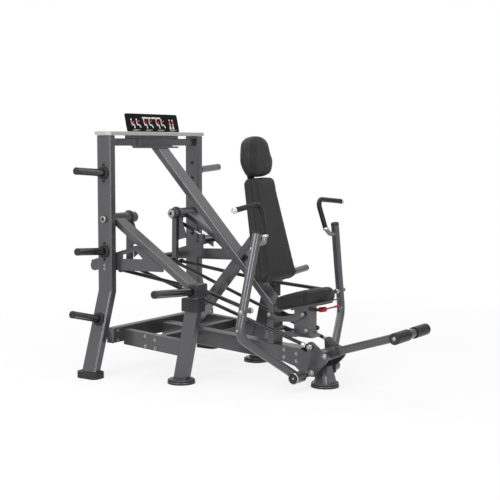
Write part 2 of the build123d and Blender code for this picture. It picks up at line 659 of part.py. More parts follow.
def horn(side, face, length, tilt):
    """Chrome sleeve standing on a face, tilted upwards."""
    with BuildPart() as sleeve:
        with BuildSketch(tilted(side, face, tilt).offset(-HORN_ROOT)):
            Circle(HORN_NECK_RADIUS)
        extrude(amount=HORN_START + HORN_ROOT)
        with BuildSketch(tilted(side, face, tilt).offset(HORN_START)):
            Circle(HORN_RADIUS)
        extrude(amount=length - HORN_START)
        cut_behind(face)
    return sleeve.part


def horn_trim(side, face, length, tilt):
    """Rubber collar at the foot of a horn and the cap that closes its end."""
    with BuildPart() as collar:
        with BuildSketch(tilted(side, face, tilt).offset(-HORN_ROOT)):
            Circle(COLLAR_RADIUS)
            Circle(HORN_NECK_RADIUS, mode=Mode.SUBTRACT)
        extrude(amount=COLLAR_LENGTH + HORN_ROOT)
        fillet(collar.edges().filter_by(GeomType.CIRCLE).sort_by_distance(face.origin)[-1], 3)
        cut_behind(face)
    with BuildPart() as cap:
        with BuildSketch(tilted(side, face, tilt).offset(length)):
            Circle(HORN_RADIUS - 0.5)
        extrude(amount=CAP_LENGTH)
        fillet(cap.edges().sort_by_distance(face.origin)[-1], 4)
        with BuildSketch(tilted(side, face, tilt).offset(length + CAP_LENGTH)):
            Circle(5)
        extrude(amount=-CAP_LENGTH / 2, mode=Mode.SUBTRACT)
    return [collar.part, cap.part]


STORAGE_FACES = []
for side in SIDES.values():
    for row_x, row_z in HORN_ROWS.values():
        STORAGE_FACES.append((side, face_plane(side, row_x + DOUBLER_THICKNESS, HORN_Y, row_z, 0), HORN_TILT))
    low_face = face_plane(side, LOW_HORN_X + DOUBLER_THICKNESS * LEG_OUT[0], HORN_Y,
                          LOW_HORN_Z + DOUBLER_THICKNESS * LEG_OUT[1], LEG_SPLAY)
    STORAGE_FACES.append((side, low_face, LOW_HORN_TILT))

with BuildPart() as storage_sleeves:
    for side, face, tilt in STORAGE_FACES:
        add(horn(side, face, STORAGE_HORN_LENGTH, tilt))
save(storage_sleeves, "storage_sleeves")

with BuildPart() as storage_trim:
    for side, face, tilt in STORAGE_FACES:
        add(horn_trim(side, face, STORAGE_HORN_LENGTH, tilt))
save(storage_trim, "storage_trim")

BOLT_SPOTS = []
for side in SIDES.values():
    BOLT_SPOTS.append((face_plane(side, COLUMN_OUTER, *WEIGHT_AXIS, 0), PIVOT_BOLT))
    for z in DOUBLER_BOLT_Z:
        BOLT_SPOTS.append((face_plane(side, COLUMN_OUTER, HORN_Y, z, 0), DOUBLER_BOLT))
    for spot in FRONT_PLATE_BOLTS:
        BOLT_SPOTS.append((face_plane(side, FRONT_PLATE_OUTER, *spot, 0), FRAME_BOLT))
    for spot in RAIL_BOLTS:
        BOLT_SPOTS.append((face_plane(side, RAIL_OUTER, *spot, 0), FRAME_BOLT))
    for z in CROSSBEAM_BOLT_Z:
        front_face = Plane(origin=(side * CROSSBEAM_BOLT_X, CROSSBEAM_FRONT, z), x_dir=(1, 0, 0),
                           z_dir=(0, -1, 0))
        BOLT_SPOTS.append((front_face, FRAME_BOLT))
with BuildPart() as frame_bolts:
    for face, radius in BOLT_SPOTS:
        with BuildSketch(face):
            Circle(WASHER_RATIO * radius)
        extrude(amount=WASHER_THICKNESS)
        with BuildSketch(face.offset(WASHER_THICKNESS)):
            RegularPolygon(radius, 6)
        extrude(amount=HEAD_RATIO * radius)
save(frame_bolts, "frame_bolts")

# =============================== cushions and their supports ===============================



def symmetric(half):
    """Closed outline from the points of its +X half, listed from the bottom up."""
    return list(half) + [(-x, v) for x, v in reversed(half)]


with BuildPart() as back_pad:
    with BuildSketch(PAD_PLANE.offset(SOFT_GAP)):
        face_from(symmetric((PAD_BOTTOM, PAD_TOP)))
        fillet(vertices(), PAD_CORNER)
    extrude(amount=PAD_THICKNESS)
    fillet(back_pad.faces().sort_by(Axis.Y)[0].edges(), PAD_EDGE)
save(back_pad, "back_pad")

HEAD_PLANE = Plane(origin=(0, *HEAD_REAR), x_dir=(1, 0, 0),
                   z_dir=(0, -math.cos(math.radians(HEAD_LEAN)), math.sin(math.radians(HEAD_LEAN))))
with BuildPart() as head_pad:
    with BuildSketch(HEAD_PLANE.offset(SOFT_GAP)):
        face_from(symmetric(HEAD_OUTLINE))
        fillet(vertices(), HEAD_CORNER)
    extrude(amount=HEAD_THICKNESS)
    fillet(head_pad.faces().sort_by(Axis.Y)[0].edges(), HEAD_EDGES[1])
    fillet(head_pad.faces().sort_by(Axis.Y)[-1].edges(), HEAD_EDGES[0])
save(head_pad, "head_pad")

with BuildPart() as pad_supports:
    with BuildSketch(PAD_PLANE):
        with Locations((0, (PAD_TOP[1] + PAD_BOTTOM[1]) / 2)):
            RectangleRounded(BOARD_SIZE[0], BOARD_SIZE[1], 20)
    extrude(amount=-BOARD_SIZE[2])
    with BuildSketch(Plane.YZ):
        Polygon(*strip(STEM_PATH, STEM_SIZE[1]), align=None)
    extrude(amount=STEM_SIZE[0] / 2, both=True)
    with BuildSketch(HEAD_PLANE):
        Ellipse(*HEAD_PLATE)
    extrude(amount=-STEM_SIZE[1])
save(pad_supports, "pad_supports")

SEAT_PLANE = Plane(origin=(0, *SEAT_BASE), x_dir=(1, 0, 0),
                   z_dir=(0, math.sin(math.radians(SEAT_TILT)), math.cos(math.radians(SEAT_TILT))))
with BuildPart() as seat_pad:
    with BuildSketch(SEAT_PLANE.offset(SOFT_GAP)):
        face_from(symmetric(SEAT_OUTLINE))
        fillet(vertices().group_by(Axis.Y)[-1], SEAT_REAR_CORNER)
        fillet(vertices().group_by(Axis.Y)[1], SEAT_FRONT_CORNER)
        fillet(vertices().group_by(Axis.Y)[0], SEAT_FRONT_CORNER)
    extrude(amount=SEAT_THICKNESS)
    fillet(seat_pad.faces().sort_by(Axis.Z)[-1].edges(), SEAT_EDGE)
save(seat_pad, "seat_pad")

# =============================== seat linkage ===============================

with BuildPart() as seat_carriage:
    with BuildSketch(Plane.YZ):
        Polygon((CARRIAGE_Y[0], CARRIAGE_LOW), (CARRIAGE_Y[0], SEAT_BASE[1]), (CARRIAGE_Y[1], SEAT_BASE[1]),
                (CARRIAGE_Y[1], CARRIAGE_LOW + 30), (CARRIAGE_Y[1] - 34, CARRIAGE_LOW), align=None)
    extrude(amount=CARRIAGE_HALF, both=True)
    with BuildSketch(SEAT_PLANE):
        Rectangle(SEAT_BOARD[0], SEAT_BOARD[1])
    extrude(amount=-SEAT_BOARD[2])
    with BuildSketch(SEAT_PLANE):
        Rectangle(2 * SEAT_BOARD[0], 2 * SEAT_BOARD[1])
    extrude(amount=SEAT_BOARD[1], mode=Mode.SUBTRACT)
    with BuildSketch(SEAT_PLANE.offset(-SEAT_BOARD[2])):
        Rectangle(2 * CARRIAGE_HALF, SEAT_BOARD[1] - SEAT_RIB[0])
    extrude(amount=-SEAT_RIB[1])
    for pivot in (SEAT_UPPER_FRONT, SEAT_LOWER_FRONT):
        with BuildSketch(x_plane(0, *pivot)):
            Circle(SEAT_PIN_RADIUS)
        extrude(amount=SEAT_LINK_X[1] + 1, both=True)
        for side in SIDES.values():
            with BuildSketch(x_plane(side * (SEAT_LINK_X[1] + 0.6), *pivot)):
                Circle(SEAT_PIN_RADIUS + 5)
            extrude(amount=side * 6)
    for offset in (-1, 1):
        ear = RELEASE_X + offset * (RELEASE_EAR[0] + RELEASE_EAR[1]) / 2
        with BuildSketch(x_plane(ear)):
            with Locations(RELEASE_AXIS):
                Circle(9)
            with Locations(((RELEASE_AXIS[0] + CARRIAGE_Y[1]) / 2 + 2, RELEASE_AXIS[1])):
                Rectangle(CARRIAGE_Y[1] - RELEASE_AXIS[0] + 4, 18)
        extrude(amount=(RELEASE_EAR[1] - RELEASE_EAR[0]) / 2, both=True)
    with BuildSketch(x_plane(RELEASE_X, *RELEASE_AXIS)):
        Circle(RELEASE_PIN_RADIUS)
    extrude(amount=RELEASE_EAR[1], both=True)
save(seat_carriage, "seat_carriage")


def seat_link(label, path, brace_at):
    """Pair of bent link plates joined by a cross tube, bored for the pins at both ends."""
    with BuildPart() as link:
        for side in SIDES.values():
            with BuildSketch(x_plane(side * SEAT_LINK_X[0])) as plate:
                Polygon(*strip(path, SEAT_LINK_WIDTH), align=None)
                with Locations(path[0], path[-1]):
                    Circle(SEAT_LINK_WIDTH / 2)
                    Circle(SEAT_PIN_RADIUS + RUNNING_FIT, mode=Mode.SUBTRACT)
            extrude(plate.sketch, amount=side * (SEAT_LINK_X[1] - SEAT_LINK_X[0]))
        with BuildSketch(x_plane(0, *brace_at)) as brace:
            Circle(12)
        extrude(brace.sketch, amount=SEAT_LINK_X[0], both=True)
    save(link, label)


seat_link("seat_upper_link", (SEAT_UPPER_REAR, (-164, 424), (-294, 432), SEAT_UPPER_FRONT), (-214, 427))
seat_link("seat_lower_link", (SEAT_LOWER_REAR, (-184, 327), (-304, 333), SEAT_LOWER_FRONT), (-244, 330))

with BuildPart() as release_lever:
    with BuildSketch(x_plane(RELEASE_X)):
        Polygon(*strip((RELEASE_AXIS, RELEASE_BEND), 18), align=None)
        with Locations(RELEASE_AXIS):
            Circle(9)
            Circle(RELEASE_PIN_RADIUS + RUNNING_FIT, mode=Mode.SUBTRACT)
    extrude(amount=RELEASE_EAR[0] - 0.5, both=True)
    reach = Vector(0, RELEASE_TIP[0] - RELEASE_BEND[0], RELEASE_TIP[1] - RELEASE_BEND[1])
    with BuildSketch(Plane(origin=(RELEASE_X, *RELEASE_BEND), z_dir=reach)):
        Circle(RELEASE_ROD_RADIUS)
    extrude(amount=reach.length)
    with BuildSketch(Plane(origin=(RELEASE_X, *RELEASE_TIP), z_dir=reach).offset(-26)):
        Circle(RELEASE_ROD_RADIUS + 2)
    extrude(amount=34)
    fillet(release_lever.faces().sort_by(Axis.Y)[0].edges(), 4)
save(release_lever, "release_lever")

# =============================== weight arms and foot link levers ===============================

BLOCK_FACE = BLOCK_CENTRE_X + BLOCK_SIZE[0] / 2
for name, side in SIDES.items():
    root = Vector(side * ARM_ROOT_X, *WEIGHT_AXIS)
    head = Vector(side * BLOCK_CENTRE_X, *BLOCK_CENTRE)
    with BuildPart() as weight_arm:
        with BuildSketch(Plane(origin=root, x_dir=(1, 0, 0), z_dir=head - root)):
            RectangleRounded(ARM_TUBE_WIDTH, ARM_TUBE_HEIGHT, 8)
        extrude(amount=(head - root).length)
        with Locations(head):
            Box(*BLOCK_SIZE)
        fillet(weight_arm.edges().filter_by(Axis.X).group_by(SortBy.LENGTH)[-1].sort_by(Axis.Y)[:2], 12)
        with BuildSketch(x_plane(side * ARM_SLEEVE[0], *WEIGHT_AXIS)):
            Circle(SLEEVE_RADIUS)
        extrude(amount=side * (ARM_SLEEVE[1] - ARM_SLEEVE[0]))
        for offset in (-1, 1):
            with BuildSketch(x_plane(side * (DAMPER_X + offset * (CLEVIS_HALF + CLEVIS_PLATE / 2)))):
                Polygon(*strip((WEIGHT_AXIS, DAMPER_HIGH), 2 * CLEVIS_RADIUS), align=None)
                with Locations(DAMPER_HIGH):
                    Circle(CLEVIS_RADIUS)
            extrude(amount=CLEVIS_PLATE / 2, both=True)
        with BuildSketch(x_plane(side * DAMPER_X, *DAMPER_HIGH)):
            Circle(DAMPER_TOP_PIN)
        extrude(amount=CLEVIS_HALF + CLEVIS_PLATE + 2, both=True)
        with BuildSketch(x_plane(side * COLUMN_X, *WEIGHT_AXIS)):
            Circle(SHAFT_RADIUS + RUNNING_FIT)
        extrude(amount=-side * COLUMN_X, mode=Mode.SUBTRACT)
    save(weight_arm, f"weight_arm_{name}")

    bar = strip((WEIGHT_AXIS, (LINK_JOINT[0] - 5, LEVER_END_Z)), LEVER_DEPTH)
    gusset = ((959, 880), (941, 861), (844, 886), (903, 1040), (941, 1040))
    with BuildPart() as arm_lever:
        with BuildSketch(x_plane(side * PRESS_BAR_X[0])):
            Polygon(*bar, align=None)
            Polygon(*gusset, align=None)
            with Locations(WEIGHT_AXIS):
                Circle(SLEEVE_RADIUS + 12)
                Circle(SLEEVE_RADIUS, mode=Mode.SUBTRACT)
        extrude(amount=side * (PRESS_BAR_X[1] - PRESS_BAR_X[0]))
        fillet(arm_lever.edges().filter_by(Axis.X).group_by(Axis.Z)[0], 12)
    save(arm_lever, f"arm_lever_{name}")

    with BuildPart() as foot_link_lever:
        with BuildSketch(x_plane(side * LINK_BAR_X[0])):
            Polygon(*bar, align=None)
        extrude(amount=side * (LINK_BAR_X[1] - LINK_BAR_X[0]))
        fillet(foot_link_lever.edges().filter_by(Axis.X).group_by(Axis.Z)[0], 12)
        with BuildSketch(x_plane(side * LINK_HUB[0], *WEIGHT_AXIS)):
            Circle(SLEEVE_RADIUS)
        extrude(amount=side * (LINK_HUB[1] - LINK_HUB[0]))
        with BuildSketch(x_plane(0, *WEIGHT_AXIS)):
            Circle(SHAFT_RADIUS + RUNNING_FIT)
        extrude(amount=side * COLUMN_X, mode=Mode.SUBTRACT)
    save(foot_link_lever, f"foot_link_lever_{name}")

    horn_foot = face_plane(side, BLOCK_FACE, *BLOCK_CENTRE, 0)
    with BuildPart() as weight_horn:
        add(horn(side, horn_foot, WEIGHT_HORN_LENGTH, HORN_TILT))
    save(weight_horn, f"weight_horn_{name}")
    with BuildPart() as weight_trim:
        add(horn_trim(side, horn_foot, WEIGHT_HORN_LENGTH, HORN_TILT))
    save(weight_trim, f"weight_trim_{name}")

# =============================== dampers ===============================

DAMPER_DIR = Vector(0, DAMPER_HIGH[0] - DAMPER_LOW[0], DAMPER_HIGH[1] - DAMPER_LOW[1])
DAMPER_LENGTH = DAMPER_DIR.length
for name, side in SIDES.items():
    along = Plane(origin=(side * DAMPER_X, *DAMPER_LOW), x_dir=(1, 0, 0), z_dir=DAMPER_DIR)
    with BuildPart() as damper_rod:
        with BuildSketch(along.offset(8)):
            Circle(DAMPER_ROD_RADIUS)
        extrude(amount=DAMPER_ROD_REACH - 8)
        with BuildSketch(x_plane(side * DAMPER_X, *DAMPER_LOW)):
            Circle(CLEVIS_RADIUS - 1)
        extrude(amount=CLEVIS_HALF - 2, both=True)
        with BuildSketch(x_plane(side * DAMPER_X, *DAMPER_LOW)):
            Circle(DAMPER_PIN_RADIUS + RUNNING_FIT)
        extrude(amount=CLEVIS_HALF, both=True, mode=Mode.SUBTRACT)
    save(damper_rod, f"damper_rod_{name}")
    with BuildPart() as damper_cylinder:
        with BuildSketch(along.offset(DAMPER_BODY[0])):
            Circle(DAMPER_BODY_RADIUS)
        extrude(amount=DAMPER_BODY[1] - DAMPER_BODY[0])
        fillet(damper_cylinder.edges().filter_by(GeomType.CIRCLE), 2)
        with BuildSketch(along.offset(DAMPER_BODY[1])):
            Circle(DAMPER_ROD_RADIUS + 1)
        extrude(amount=DAMPER_LENGTH - DAMPER_BODY[1] - 11)
        with BuildSketch(x_plane(side * DAMPER_X, *DAMPER_HIGH)):
            Circle(DAMPER_EYE[0])
            Circle(DAMPER_EYE[1], mode=Mode.SUBTRACT)
        extrude(amount=CLEVIS_HALF - 3, both=True)
        with BuildSketch(along.offset(DAMPER_BODY[0])):
            Circle(DAMPER_ROD_RADIUS + RUNNING_FIT)
        extrude(amount=DAMPER_BORE, mode=Mode.SUBTRACT)
    save(damper_cylinder, f"damper_cylinder_{name}")

# =============================== press arms and rods ===============================


def route(points, radius):
    """Wire through the points with every corner rounded in its own plane."""
    points = [Vector(*p) for p in points]
    edges, start = [], points[0]
    for i in range(1, len(points) - 1):
        before = (points[i] - points[i - 1]).normalized()
        after = (points[i + 1] - points[i]).normalized()
        reach = radius * math.tan(before.get_angle(after) * math.pi / 360)
        bend_start, bend_end = points[i] - before * reach, points[i] + after * reach
        edges.append(Edge.make_line(start, bend_start))
        edges.append(Edge.make_tangent_arc(bend_start, before, bend_end))
        start = bend_end
    edges.append(Edge.make_line(start, points[-1]))
    return Wire(edges)


def mirrored(points, side):
    """The same points on the chosen side."""
    return [(side * p[0], p[1], p[2]) for p in points]


def tube_along(path, radius, bore=0):
    """Round bar or tube swept along a wire."""
    with BuildPart() as bent:
        with BuildSketch(Plane(origin=path @ 0, z_dir=path % 0)) as section:
            Circle(radius)
            if bore:
                Circle(bore, mode=Mode.SUBTRACT)
        sweep(section.sketch, path=path)
    return bent.part


ARM_X_AT_JOINT = PRESS_ARM_PATH[0][0] + (PRESS_ARM_PATH[1][0] - PRESS_ARM_PATH[0][0]) * (
    PRESS_ARM_PATH[0][2] - PRESS_JOINT[1]) / (PRESS_ARM_PATH[0][2] - PRESS_ARM_PATH[1][2])
for name, side in SIDES.items():
    arm_route = route(mirrored(PRESS_ARM_PATH, side), PRESS_BEND)
    with BuildPart() as press_arm:
        add(tube_along(arm_route, PRESS_TUBE_RADIUS))
        with BuildSketch(x_plane(side * PRESS_DRUM[0], *PRESS_AXIS)):
            Circle(PRESS_DRUM_RADIUS)
        extrude(amount=side * (PRESS_DRUM[1] - PRESS_DRUM[0]))
        for start, end, radius in ((PRESS_EYE_X - 14, ARM_X_AT_JOINT, STUD_RADIUS),
                                   (PRESS_EYE_X - 14.5, PRESS_EYE_X - 10.5, STUD_RADIUS + 4),
                                   (PRESS_EYE_X + 10.5, ARM_X_AT_JOINT, STUD_RADIUS + 5),
                                   (ARM_X_AT_JOINT, ARM_X_AT_JOINT + 38, STUD_RADIUS + 6)):
            with BuildSketch(x_plane(side * start, *PRESS_JOINT)):
                Circle(radius)
            extrude(amount=side * (end - start))
        with BuildSketch(x_plane(side * PRESS_DRUM[0], *PRESS_AXIS)):
            Circle(SHAFT_RADIUS + RUNNING_FIT)
        extrude(amount=side * (PRESS_DRUM[1] - PRESS_DRUM[0]), mode=Mode.SUBTRACT)
        with BuildSketch(x_plane(side * PRESS_DRUM[1], *PRESS_AXIS)):
            Circle(PRESS_DRUM_RADIUS + 1)
        extrude(amount=side * PRESS_DRUM_RADIUS, mode=Mode.SUBTRACT)
    save(press_arm, f"press_arm_{name}")

    with BuildPart() as arm_trim:
        with BuildSketch(Plane(origin=arm_route @ 0, z_dir=-(arm_route % 0))):
            Circle(PRESS_TUBE_RADIUS)
        extrude(amount=CAP_LENGTH)
        fillet(arm_trim.edges().filter_by(GeomType.CIRCLE).sort_by_distance(arm_route @ 0.5)[-1], 5)
        with BuildSketch(x_plane(side * PRESS_DRUM[1], *PRESS_AXIS)):
            Circle(PRESS_DRUM_RADIUS)
        extrude(amount=side * 7)
    save(arm_trim, f"arm_trim_{name}")

    grip_route = route(mirrored(HANDLE_PATH[:3], side), HANDLE_BEND)
    grip_end = Plane(origin=grip_route @ 1, z_dir=grip_route % 1)
    stay_route = route([grip_end.offset(9).origin] + mirrored(HANDLE_PATH[3:], side), HANDLE_STAY_BEND)
    with BuildPart() as handle_bar:
        add(tube_along(grip_route, HANDLE_CORE_RADIUS))
        add(tube_along(stay_route, HANDLE_STAY_RADIUS))
        with BuildSketch(grip_end):
            Circle(GRIP_RADIUS + 1.5)
        extrude(amount=14)
        with BuildSketch(Plane(origin=grip_route @ 0, z_dir=-(grip_route % 0))):
            Circle(GRIP_RADIUS + 1)
        extrude(amount=14)
        add(tube_along(arm_route, PRESS_TUBE_RADIUS), mode=Mode.SUBTRACT)
    save(handle_bar, f"handle_bar_{name}")
    with BuildPart() as handle_grip:
        add(tube_along(grip_route, GRIP_RADIUS, HANDLE_CORE_RADIUS))
    save(handle_grip, f"handle_grip_{name}")

    eye = Vector(side * PRESS_EYE_X, *PRESS_JOINT)
    knee = Vector(side * KNEE[0], *KNEE[1:])
    neck = Plane(origin=eye, z_dir=knee - eye).offset(STUD_RADIUS + 9)
    rod_start = neck.offset(NECK_LENGTH).origin
    with BuildPart() as press_rod:
        with BuildSketch(neck):
            Circle(STUD_RADIUS)
        extrude(amount=2 * NECK_LENGTH)
        add(tube_along(route([rod_start, knee, (side * PRESS_ROD_X, *ARM_JOINT)], 60), ROD_RADIUS))
        with BuildSketch(x_plane(side * PRESS_EYE_X, *PRESS_JOINT)):
            Circle(ROD_EYE_RADIUS)
        extrude(amount=10, both=True)
        with BuildSketch(x_plane(side * PRESS_EYE_X, *PRESS_JOINT)):
            Circle(STUD_RADIUS + RUNNING_FIT)
        extrude(amount=20, both=True, mode=Mode.SUBTRACT)
        with BuildSketch(x_plane(side * PRESS_ROD_X, *ARM_JOINT)):
            Circle(ROD_EYE_RADIUS)
        extrude(amount=12, both=True)
        with BuildSketch(x_plane(side * PRESS_ROD_X, *ARM_JOINT)):
            Circle(STUD_RADIUS + 1)
        extrude(amount=-side * (PRESS_ROD_X - PRESS_BAR_X[1] - OPEN_PIVOT_GAP))
    save(press_rod, f"press_rod_{name}")

# =============================== foot lever, rods and roller ===============================

HEAD_BOX_SIZE = (2 * FOOT_PLATE_X[0], LEVER_HEAD_DEPTH, LEVER_HEAD_HEIGHT)
ROLLER_VECTOR = Vector(0, ROLLER_AXIS[0] - LEVER_TUBE_START[0], ROLLER_AXIS[1] - LEVER_TUBE_START[1])
with BuildPart() as foot_lever:
    for side in SIDES.values():
        with BuildSketch(x_plane(side * FOOT_PLATE_X[0])):
            with Locations(FOOT_AXIS):
                Circle(26)
            with Locations(EAR_JOINT):
                Circle(EAR_RADIUS)
            with Locations(CLAMP_CENTRE):
                Circle(36)
            make_hull()
        extrude(amount=side * (FOOT_PLATE_X[1] - FOOT_PLATE_X[0]))
    with Locations((0, *LEVER_TUBE_START)):
        Box(*HEAD_BOX_SIZE)
    with BuildSketch(Plane(origin=(0, *LEVER_TUBE_START), x_dir=(1, 0, 0), z_dir=ROLLER_VECTOR)):
        RectangleRounded(*LEVER_SOCKET, FRONT_PLATE_CORNER)
    extrude(amount=LEVER_SOCKET_LENGTH)
    with BuildSketch(Plane(origin=(0, *LEVER_TUBE_START), x_dir=(1, 0, 0), z_dir=ROLLER_VECTOR)):
        Circle(LEVER_TUBE_RADIUS)
    extrude(amount=ROLLER_VECTOR.length)
    for radius, half in ((LEVER_TUBE_RADIUS + 2, ROLLER_GRIP_X[0] - 1),
                         (ROLLER_CORE_RADIUS, ROLLER_GRIP_X[1])):
        with BuildSketch(x_plane(0, *ROLLER_AXIS)):
            Circle(radius)
        extrude(amount=half, both=True)
    for side in SIDES.values():
        for start, end, radius in ((FOOT_PLATE_X[1], FOOT_ROD_FRONT_X - 10.5, STUD_RADIUS + 5),
                                   (FOOT_PLATE_X[1], FOOT_ROD_FRONT_X + 16, STUD_RADIUS),
                                   (FOOT_ROD_FRONT_X + 10.5, FOOT_ROD_FRONT_X + 17, STUD_RADIUS + 5)):
            with BuildSketch(x_plane(side * start, *EAR_JOINT)):
                Circle(radius)
            extrude(amount=side * (end - start))
        with BuildSketch(x_plane(side * FOOT_PLATE_X[0], *FOOT_AXIS)):
            Circle(FOOT_SHAFT_RADIUS + RUNNING_FIT)
        extrude(amount=side * (FOOT_PLATE_X[1] - FOOT_PLATE_X[0]), mode=Mode.SUBTRACT)
save(foot_lever, "foot_lever")

with BuildPart() as roller_grips:
    for side in SIDES.values():
        with BuildSketch(x_plane(side * ROLLER_GRIP_X[0], *ROLLER_AXIS)):
            Circle(ROLLER_RADIUS)
            Circle(ROLLER_CORE_RADIUS, mode=Mode.SUBTRACT)
        extrude(amount=side * (ROLLER_GRIP_X[1] - ROLLER_GRIP_X[0]))
save(roller_grips, "roller_grips")

for name, side in SIDES.items():
    front = Vector(side * FOOT_ROD_FRONT_X, *EAR_JOINT)
    rear = Vector(side * FOOT_ROD_REAR_X, *LINK_JOINT)
    rod_start = front + (rear - front).normalized() * (STUD_RADIUS + 6)
    with BuildPart() as foot_rod:
        with BuildSketch(Plane(origin=rod_start, z_dir=rear - front)):
            Circle(FOOT_ROD_RADIUS)
        extrude(amount=(rear - rod_start).length)
        with BuildSketch(x_plane(front.X, *EAR_JOINT)):
            Circle(ROD_EYE_RADIUS)
        extrude(amount=10, both=True)
        with BuildSketch(x_plane(front.X, *EAR_JOINT)):
            Circle(STUD_RADIUS + RUNNING_FIT)
        extrude(amount=20, both=True, mode=Mode.SUBTRACT)
        with BuildSketch(x_plane(rear.X, *LINK_JOINT)):
            Circle(ROD_EYE_RADIUS)
        extrude(amount=10, both=True)
        with BuildSketch(x_plane(rear.X, *LINK_JOINT)):
            Circle(STUD_RADIUS + 1)
        extrude(amount=side * (LINK_BAR_X[0] - FOOT_ROD_REAR_X - OPEN_PIVOT_GAP))
    save(foot_rod, f"foot_rod_{name}")
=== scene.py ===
"""Finishes, upholstery and printed board of a plate-loaded lever press with a foot-assist lever."""
import json
import math

import bmesh
import bpy
from mathutils import Matrix, Vector

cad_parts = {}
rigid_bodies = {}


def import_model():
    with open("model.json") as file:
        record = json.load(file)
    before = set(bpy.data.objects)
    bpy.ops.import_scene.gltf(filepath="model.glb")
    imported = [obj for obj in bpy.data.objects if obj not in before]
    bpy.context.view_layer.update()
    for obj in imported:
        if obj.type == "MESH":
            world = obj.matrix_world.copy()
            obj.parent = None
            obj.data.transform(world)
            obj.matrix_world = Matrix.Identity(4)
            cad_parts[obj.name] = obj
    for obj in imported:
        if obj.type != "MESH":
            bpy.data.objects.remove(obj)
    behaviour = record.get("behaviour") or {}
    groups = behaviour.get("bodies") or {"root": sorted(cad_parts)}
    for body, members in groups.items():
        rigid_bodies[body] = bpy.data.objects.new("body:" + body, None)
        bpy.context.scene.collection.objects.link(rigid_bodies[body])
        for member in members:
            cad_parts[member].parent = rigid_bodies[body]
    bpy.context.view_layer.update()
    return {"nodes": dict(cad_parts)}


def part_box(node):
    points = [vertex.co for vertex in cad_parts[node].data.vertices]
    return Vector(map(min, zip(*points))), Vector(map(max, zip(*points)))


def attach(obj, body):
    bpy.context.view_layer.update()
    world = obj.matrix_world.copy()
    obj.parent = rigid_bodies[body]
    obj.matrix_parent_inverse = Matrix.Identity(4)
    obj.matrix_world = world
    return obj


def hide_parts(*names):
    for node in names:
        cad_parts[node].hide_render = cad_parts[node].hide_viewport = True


bl_info = {
    "name": "Lever Press Finisher",
    "version": (1, 0, 0),
    "blender": (4, 5, 0),
    "location": "View3D > Sidebar > Lever Press",
    "description": "Paint, chrome, rubber and upholstery of a plate-loaded lever press",
    "category": "Object",
}

for leftover in list(bpy.data.objects):
    bpy.data.objects.remove(leftover)
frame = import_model()
NODES = frame["nodes"]
SIDES = {"right": -1, "left": 1}


# ------------------------------------------------------------------ shader maths
class Field:
    """The output of a node. Arithmetic on it adds Math nodes."""

    def __init__(self, graph, socket):
        self.graph = graph
        self.socket = socket

    def _math(self, operation, first, second):
        return self.graph.node("ShaderNodeMath", {"operation": operation}, {0: first, 1: second})

    def __add__(self, other):
        return self._math("ADD", self, other)

    def __sub__(self, other):
        return self._math("SUBTRACT", self, other)

    def __rsub__(self, other):
        return self._math("SUBTRACT", other, self)

    def __mul__(self, other):
        return self._math("MULTIPLY", self, other)

    def above(self, low, high):
        """0 below low and 1 above high, with a smooth step between them."""
        step = {"Value": self, "From Min": low, "From Max": high}
        return self.graph.node("ShaderNodeMapRange", {"interpolation_type": "SMOOTHSTEP"}, step)

    __radd__ = __add__
    __rmul__ = __mul__


class Graph:
    """The node tree of a material or of the world."""

    def __init__(self, owner):
        owner.use_nodes = True
        self.tree = owner.node_tree
        self.tree.nodes.clear()

    def node(self, kind, settings=None, values=None, output=0):
        """A node with its settings made first, then the values or links of its sockets."""
        made = self.tree.nodes.new(kind)
        for name, value in (settings or {}).items():
            setattr(made, name, value)
        for name, value in (values or {}).items():
            if isinstance(value, Field):
                self.tree.links.new(value.socket, made.inputs[name])
            else:
                made.inputs[name].default_value = value
        return Field(self, made.outputs[output]) if made.outputs else None

    def seen_direct(self):
        """1 where the eye, a reflection or clear glass sees the surface, and 0 for its light on others."""
        rays = [self.node("ShaderNodeLightPath", output=f"Is {kind} Ray")
                for kind in ("Camera", "Glossy", "Transmission")]
        return rays[0] + rays[1] + rays[2]


